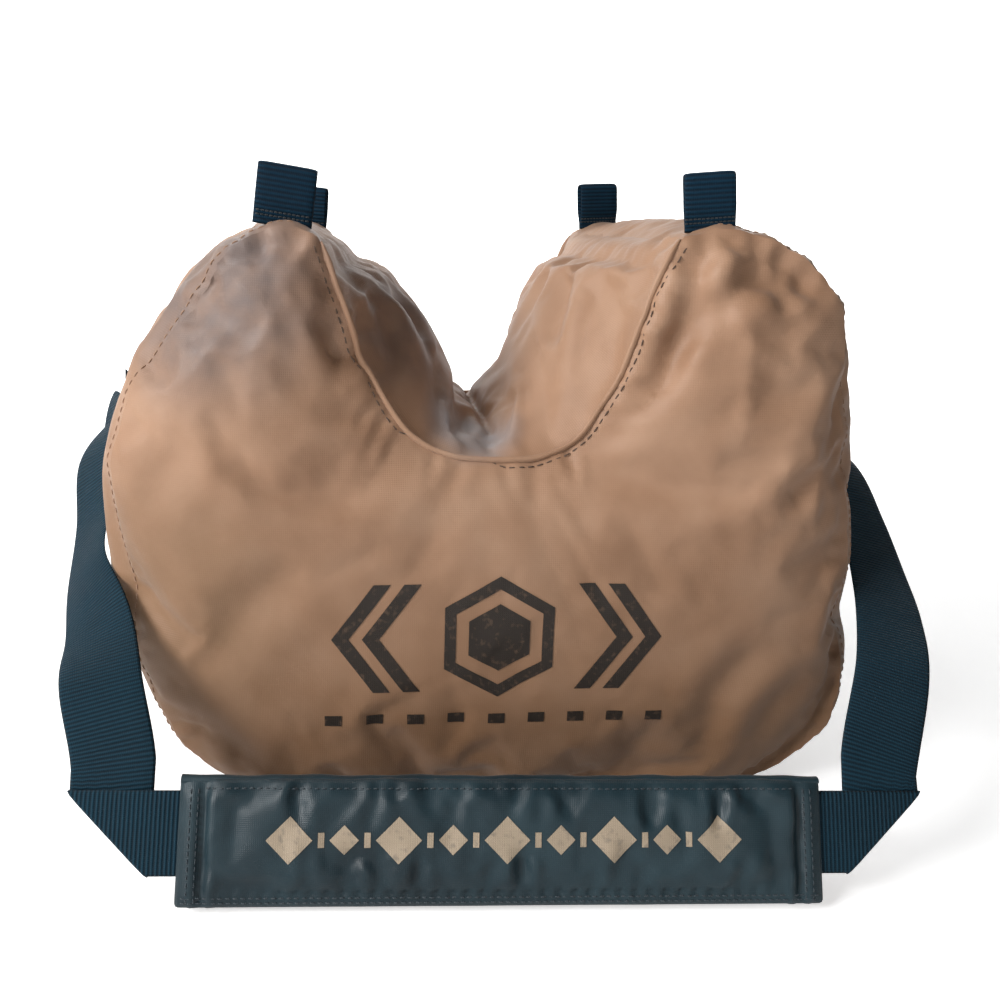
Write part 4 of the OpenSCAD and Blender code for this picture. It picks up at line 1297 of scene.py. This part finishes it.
HEM = 7.0          # width of the flat hem along the pad's foot
END_HEM = 12.5     # and across its two ends
END_ROWS = (6.2, 9.6)            # how far in from each end its stitches are
FOOT_ROWS = (2.6, HEM - 2.2)     # and how far up from the foot
FOLD_ROW = 4.5                   # and how far down from the fold
PAD_GRID = (80, 16)              # faces along the pad and up it
PAD_EDGE_T = 1.4                 # thickness of each half at its edge
HEM_ROUND, PAD_ROUND, TOP_ROUND = 2.2, 10, 9     # how far in the hems, middle and top are full
HEM_SHARE = 0.40                 # the share of the pad's fullness that its hems have
TOP_LOSS = 0.55                  # the share of it that is lost at the fold
PAD_LOOSE = 0.45                 # the cloth moves where the pad is fuller than this
PAD_SWELL_CAP = 2.4              # furthest that a half's cloth moves as it swells


def pad_profile(x, h):
    """How full the pad is, from 0 at its edge to 1, with a thin flat hem at its ends and foot."""
    end, foot, top = PAD_W / 2 - np.abs(x), h, PAD_H - h
    hem = ramp(np.minimum(end, foot) / HEM_ROUND) * HEM_SHARE
    body = (1 - HEM_SHARE) * ramp(np.minimum(end - END_HEM, foot - HEM) / PAD_ROUND)
    return (hem + body) * (1 - TOP_LOSS * (1 - ramp(top / TOP_ROUND)))


def pad_half(name, inner_d, outer_way):
    """One padded half of the pad as a closed shell: a flat inner face and a crowned outer one."""
    columns, rows = PAD_GRID
    x = np.linspace(-PAD_W / 2, PAD_W / 2, columns + 1)
    h = np.linspace(0, PAD_H, rows + 1)
    grid_x, grid_h = (v.ravel() for v in np.meshgrid(x, h, indexing="ij"))
    full = pad_profile(grid_x, grid_h)
    width = rows + 1
    count = len(grid_x)
    outer = leaned(grid_x, inner_d + outer_way * (PAD_EDGE_T + (PAD_T - 2.6) * full), grid_h)
    rim_in = 0.5 * (1 - ramp(np.minimum(np.minimum(PAD_W / 2 - np.abs(grid_x), grid_h), PAD_H - grid_h) / 2))
    inner = leaned(grid_x * (1 - rim_in / PAD_W), inner_d + 0 * grid_x, grid_h)
    faces = []
    for i in range(columns):
        for j in range(rows):
            a = i * width + j
            quad = [a, a + 1, a + width + 1, a + width]
            faces += [quad, [count + k for k in quad[::-1]]]
    rim = ([i * width for i in range(columns + 1)] + [columns * width + j for j in range(1, width)]
           + [i * width + rows for i in range(columns - 1, -1, -1)] + [j for j in range(rows - 1, 0, -1)])
    for a, b in zip(rim, rim[1:] + rim[:1]):
        faces.append([a, b, b + count, a + count])
    uvs = np.column_stack([np.tile(grid_x, 2), np.concatenate([grid_h, 200 - grid_h])]) * MM
    piece = mesh_object(name, np.vstack([outer, inner]), faces, uvs)
    solid = bmesh.new()
    solid.from_mesh(piece.data)
    bmesh.ops.recalc_face_normals(solid, faces=solid.faces)
    solid.to_mesh(piece.data)
    solid.free()
    held = np.ones(2 * count)
    loose = (full > PAD_LOOSE) & (grid_h < PAD_H - 2)
    held[:count][loose] = 0.0
    before, after = simulate(piece, held, pressure=1.5, growth=0.05, stiffness=10, bending=0.3)
    put_points(piece.data, before + capped(after - before, PAD_SWELL_CAP))
    return refine(piece)


PAD_PLAY = 0.35           # between the strap and each half's inner face, at these depths
PAD_BACK_D = -LAYER + STRAP_T / 2 + PAD_PLAY
PAD_FRONT_D = -LAYER - STRAP_T / 2 - PAD_PLAY
PAD_PUCKERS = 46
PUCKER_END = 19.0         # the short creases keep this far from the pad's ends


def pucker_pad(piece, outer_way):
    """A groove along each hem, and short creases that run in from the hems and the fold."""
    points, normals = points_of(piece.data), normals_of(piece.data)
    skin = PAD_FRONT_D if outer_way < 0 else PAD_BACK_D
    proud = outer_way * PAD_T * 0.5 + skin
    inner_end = PAD_W / 2 - END_HEM
    for x in (-inner_end, inner_end):
        line = [leaned(x, proud, h) for h in np.linspace(-4, PAD_H, 9)]
        press_fold(points, normals, line, 2.5, 2.3, lip=0.6)
    foot = [leaned(x, proud, HEM) for x in np.linspace(-inner_end, inner_end, 9)]
    press_fold(points, normals, foot, 1.5, 1.9, lip=0.5)
    for _ in range(PAD_PUCKERS):
        x, top = rng.uniform(-PAD_W / 2 + PUCKER_END, PAD_W / 2 - PUCKER_END), rng.random() < 0.45
        h = PAD_H - 1 if top else HEM + 1
        reach = rng.uniform(8, 26) * (-1 if top else 1)
        lean, size = rng.uniform(-7, 7), rng.uniform(0.5, 1.3)
        path = [leaned(x + lean * t, outer_way * PAD_T * 0.9 + skin, h + reach * t) for t in (0.0, 0.5, 1.0)]
        press_fold(points, normals, path, size, rng.uniform(2.6, 4.2), lip=0.6)
    put_points(piece.data, points)


def stitch_row(surface, inner_d, way, start, end):
    """A straight row on the outside of one half of the pad, between two (along, up) places."""
    line = np.array([leaned(lerp(start[0], end[0], t), inner_d + way * 40.0, lerp(start[1], end[1], t))
                     for t in np.linspace(0, 1, max(8, int(math.dist(start, end) / 4)))])
    return surface.cast(line, tuple(PAD_BACK_WAY * -way))


def pad():
    """The wrap-around pad: a back half and a front flap, joined by a fold along the top."""
    for name, d, way, body, cover, foam, foam_name in (
            ("pad_back_pillow", PAD_BACK_D, 1, "strap", "pad_back_cover", "pad_back_foam", "pad_back_core"),
            ("pad_front_pillow", PAD_FRONT_D, -1, "pad_flap", "pad_front_cover", "pad_front_foam",
             "pad_front_core")):
        piece = pad_half(name, d, way)
        pucker_pad(piece, way)
        own(piece, body, "pad_nylon", NYLON, cover)
        core = piece.data.copy()
        inner = place_object(foam_name, core)
        inward = unit(relax(normals_of(core), links_of(core), 3))
        put_points(core, points_of(core) - inward * 0.55)
        own(inner, body, "pad_foam", foam_material(), foam)
        surface = Cloth(piece)
        half = PAD_W / 2
        rows = [((x, 2), (x, PAD_H - 2)) for inset in END_ROWS for x in (-half + inset, half - inset)]
        rows += [((-half + 3, h), (half - 3, h)) for h in FOOT_ROWS]
        rows.append(((-half + END_HEM, PAD_H - FOLD_ROW), (half - END_HEM, PAD_H - FOLD_ROW)))
        runs = [stitch_row(surface, d, way, *ends) for ends in rows]
        own(stitches(name.replace("pillow", "stitches"), runs, 3.6, 2.6, 0.36), body, "pad_nylon",
            PAD_THREAD)
    pad_fold()


FOLD_DEEP = 3.6           # from the middle of the pad's top fold to its front and its back
FOLD_UP = 2.6             # and to its top
FOLD_COLUMNS = 80


def pad_fold():
    """The strip of nylon over the top of the pad."""
    x = np.linspace(-PAD_W / 2 + 0.6, PAD_W / 2 - 0.6, FOLD_COLUMNS + 1)
    angle = np.linspace(-0.12 * math.pi, 1.12 * math.pi, 15)
    middle = (PAD_BACK_D + PAD_FRONT_D) / 2
    wave = 0.25 * np.sin(x / 9.0) + 0.2 * np.sin(x / 3.7 + 1)
    rings = [leaned(x, middle + FOLD_DEEP * math.cos(a) + 0 * x,
                    PAD_H - 1.2 + (FOLD_UP + wave) * math.sin(a)) for a in angle]
    verts = np.concatenate(rings)
    corners = [i * len(x) + j for i in range(len(angle) - 1) for j in range(FOLD_COLUMNS)]
    faces = [(a, a + 1, a + 1 + len(x), a + len(x)) for a in corners]
    uvs = np.array([(u, 300 + FOLD_DEEP * a) for a in angle for u in x]) * MM
    piece = mesh_object("pad_top_fold", verts, faces, uvs)
    piece.data.materials.append(NYLON)
    smooth(piece)
    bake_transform(piece)


# ---- Prints: flat shapes laid on the cloth ----
PRINT_STEP = 2.0


def polygon_ring(points):
    """The outline with points at an even step, so that it bends with the cloth."""
    points = [np.array(p, float) for p in points]
    pairs = list(zip(points, points[1:] + points[:1]))
    counts = [max(2, round(math.dist(a, b) / PRINT_STEP)) for a, b in pairs]
    return np.vstack([lerp(a, b, np.linspace(0, 1, n + 1)[:-1, None]) for (a, b), n in zip(pairs, counts)])


def shapes_mesh(name, outlines, lay):
    """One mesh of flat shapes. lay puts flat points in space."""
    verts, faces, uvs = [], [], []
    for outline in outlines:
        flat, tris = even_mesh(polygon_ring(outline), step=PRINT_STEP)
        base = len(verts)
        verts += list(lay(flat))
        uvs += list(flat)
        faces += [[base + i for i in f] for f in tris]
    return mesh_object(name, verts, faces, np.array(uvs) * MM)


def chevron(x, z, reach, half, thick):
    """An arrowhead stroke that points along x by reach."""
    lead = math.copysign(thick, reach)
    return [(x, z + half), (x + lead, z + half), (x + reach + lead, z), (x + lead, z - half), (x, z - half),
            (x + reach, z)]


def rectangle(x0, z0, x1, z1):
    return [(x0, z0), (x1, z0), (x1, z1), (x0, z1)]


def hexagon_band(x, z, outer, inner):
    """A hexagon ring in six pieces."""
    angle = np.radians(np.arange(0, 361, 60) + 30)
    ring = [(x + r * np.cos(angle), z + r * np.sin(angle)) for r in (outer, inner)]
    return [[(ring[0][0][i], ring[0][1][i]), (ring[0][0][i + 1], ring[0][1][i + 1]),
             (ring[1][0][i + 1], ring[1][1][i + 1]), (ring[1][0][i], ring[1][1][i])] for i in range(6)]


def hexagon(x, z, radius):
    angle = np.radians(np.arange(0, 360, 60) + 30)
    return list(zip(x + radius * np.cos(angle), z + radius * np.sin(angle)))


def bag_print(cloth):
    """A plain geometric motif in the middle of the front: a hexagon between chevrons, over a row of
    small squares."""
    x, z = 3.0, 110.0
    outlines = hexagon_band(x, z, 34, 27) + [hexagon(x, z, 19)]
    for way in (-1, 1):
        outlines += [chevron(x + way * start, z, way * 22, 30, 9) for start in (42, 58)]
    outlines += [rectangle(x + i * 22 - 4.5, 60, x + i * 22 + 4.5, 66) for i in range(-4, 5)]

    def lay(flat):
        start = np.column_stack([flat[:, 0], np.full(len(flat), -300.0), flat[:, 1]])
        return cloth.cast(start, (0, 1, 0), 0.35)[0]

    own(shapes_mesh("front_motif", outlines, lay), "bag", "cover_cloth", BAG_INK)


LOZENGE_STEP = 26.0       # from one lozenge to the next
LOZENGE_SIZES = (11.0, 7.0)      # from the middle of each, by turns, to its corners
LOZENGE_H = 32            # how far up the pad the row is


def pad_print(piece):
    """A row of lozenges between short bars along the pad's front."""
    surface = Cloth(piece)
    outlines = []
    for i in range(-4, 5):
        x = i * LOZENGE_STEP
        size = LOZENGE_SIZES[i % 2]
        outlines.append([(x - size, LOZENGE_H), (x, LOZENGE_H - size), (x + size, LOZENGE_H),
                         (x, LOZENGE_H + size)])
    for i in range(-4, 4):
        middle = i * LOZENGE_STEP + LOZENGE_SIZES[i % 2] + 4
        outlines.append(rectangle(middle - 1.5, LOZENGE_H - 3.5, middle + 1.5, LOZENGE_H + 3.5))

    def lay(flat):
        start = leaned(flat[:, 0], np.full(len(flat), -60.0), flat[:, 1])
        return surface.cast(start, tuple(PAD_BACK_WAY), 0.3)[0]

    own(shapes_mesh("pad_motif", outlines, lay), "pad_flap", "pad_nylon", PAD_INK)


# ---- CAD nodes that keep their shape ----
def finish_hardware():
    """Gives the zip and the pad's tapes their materials."""
    looks = {"zip_tape_upper": tape_material, "zip_tape_lower": tape_material, "zip_teeth": plastic_material,
             "zip_end_stops": metal_material, "zip_slider": metal_material, "zip_pull": metal_material,
             "pad_hook_tape": pile_material, "pad_loop_tape": pile_material}
    made = {}
    for node, look in looks.items():
        made.setdefault(look, look())
        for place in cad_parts[node].material_slots:
            place.material = made[look]


def zip_box():
    """The lowest and the highest corner of the zip's lower tape, and the top of its upper one."""
    low, high = (np.array(v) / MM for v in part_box("zip_tape_lower"))
    return low, high, np.array(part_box("zip_tape_upper")[1])[2] / MM


def zip_edges():
    """The turned edges of the back panel's cloth, sewn along both sides of the zip."""
    low, high, top = zip_box()
    for name, z in (("zip_edge_lower", low[2] + 0.4), ("zip_edge_upper", top - 0.4)):
        x = np.arange(low[0] - 4, high[0] + 4, 3.0)
        path = np.column_stack([x, np.full_like(x, high[1] + 0.1), z + 0.25 * np.sin(x / 11.0)])
        own(rope(name, path, np.array([0.0, 1.0, 0.0]), 2.4, 0.9, uneven=0.1), "bag", "cover_cloth", COVER)


def zip_stitches():
    """Two rows of stitches through each zip tape."""
    runs = []
    low, high, top = zip_box()
    for z in (low[2] + 1.6, low[2] + 3.8, top - 1.6, top - 3.8):
        x = np.linspace(low[0] + 1, high[0] - 1, 40)
        row = np.column_stack([x, np.full_like(x, high[1]), np.full_like(x, z)])
        runs.append((row, np.tile([0.0, 1.0, 0.0], (40, 1))))
    own(stitches("zip_stitches", runs, 3.2, 2.3, 0.32), "bag", "zip_tape", DARK_THREAD)


# ---- Floor, lights ----
AMBIENT = 0.09           # light from all round, while the plain surround itself looks white
# Each area light's name, place, aim, size and power.
LIGHTS = [("key_light", (-1.45, -1.0, 1.05), (0, 0, 0.15), 0.7, 36),
          ("top_light", (-1.1, -0.1, 1.5), (0, 0, 0.2), 0.9, 9),
          ("fill_light", (0.2, -1.8, 0.5), (0, 0, 0.15), 1.2, 5),
          ("back_light_left", (-1.0, 0.8, 1.3), (-0.7, 2.0, 1.1), 1.2, 26),
          ("back_light_right", (1.0, 0.8, 1.3), (0.7, 2.0, 1.1), 1.2, 34)]


def studio():
    """A white floor that curves up behind the bag, five lights and a plain surround."""
    width, near, far, rise = 3.6, -3.6, 1.1, 2.6
    profile = [(near, 0.0), (far, 0.0)]
    bend = 0.9
    for angle in np.linspace(0, math.pi / 2, 13)[1:]:
        profile.append((far + bend * math.sin(angle), bend - bend * math.cos(angle)))
    profile.append((far + bend, rise))
    verts = [(x, y, z) for y, z in profile for x in (-width, width)]
    faces = [(2 * i, 2 * i + 1, 2 * i + 3, 2 * i + 2) for i in range(len(profile) - 1)]
    floor = smooth(mesh_object("studio_floor", np.array(verts) / MM, faces))
    floor.data.materials.append(floor_material())
    for name, at, aim, size, power in LIGHTS:
        lamp = bpy.data.lights.new(name, "AREA")
        lamp.size = size
        lamp.energy = power
        holder = place_object(name, lamp)
        holder.location = at
        holder.rotation_euler = (Vector(aim) - Vector(at)).to_track_quat("-Z", "Y").to_euler()
    world = bpy.data.worlds.new("studio")
    world.use_nodes = True
    tree = world.node_tree
    surround = tree.nodes["Background"]
    surround.inputs["Color"].default_value = (1.0, 1.0, 1.0, 1)
    seen = tree.nodes.new("ShaderNodeMapRange")
    seen.inputs["To Min"].default_value = AMBIENT
    tree.links.new(tree.nodes.new("ShaderNodeLightPath").outputs["Is Camera Ray"], seen.inputs["Value"])
    tree.links.new(seen.outputs["Result"], surround.inputs["Strength"])
    scene.world = world


# ---- Everything ----
bag = bag_mesh()
fill_bag(bag)
refine(bag)
press_folds(bag)
pucker_seams(bag)
cloth = Cloth(bag)
saddle_lips(bag, cloth)
side_seam_stitches(bag, cloth)
strap_anchors(cloth)
bag_inside(bag)
bag_print(cloth)
for number in range(len(PANELS)):
    panel_piece(bag, number, COVER)
bpy.data.objects.remove(bag)
tie_loops()
strap(cloth)
pad()
pad_print(bpy.data.objects["pad_front_pillow"])
finish_hardware()
zip_edges()
zip_stitches()
studio()
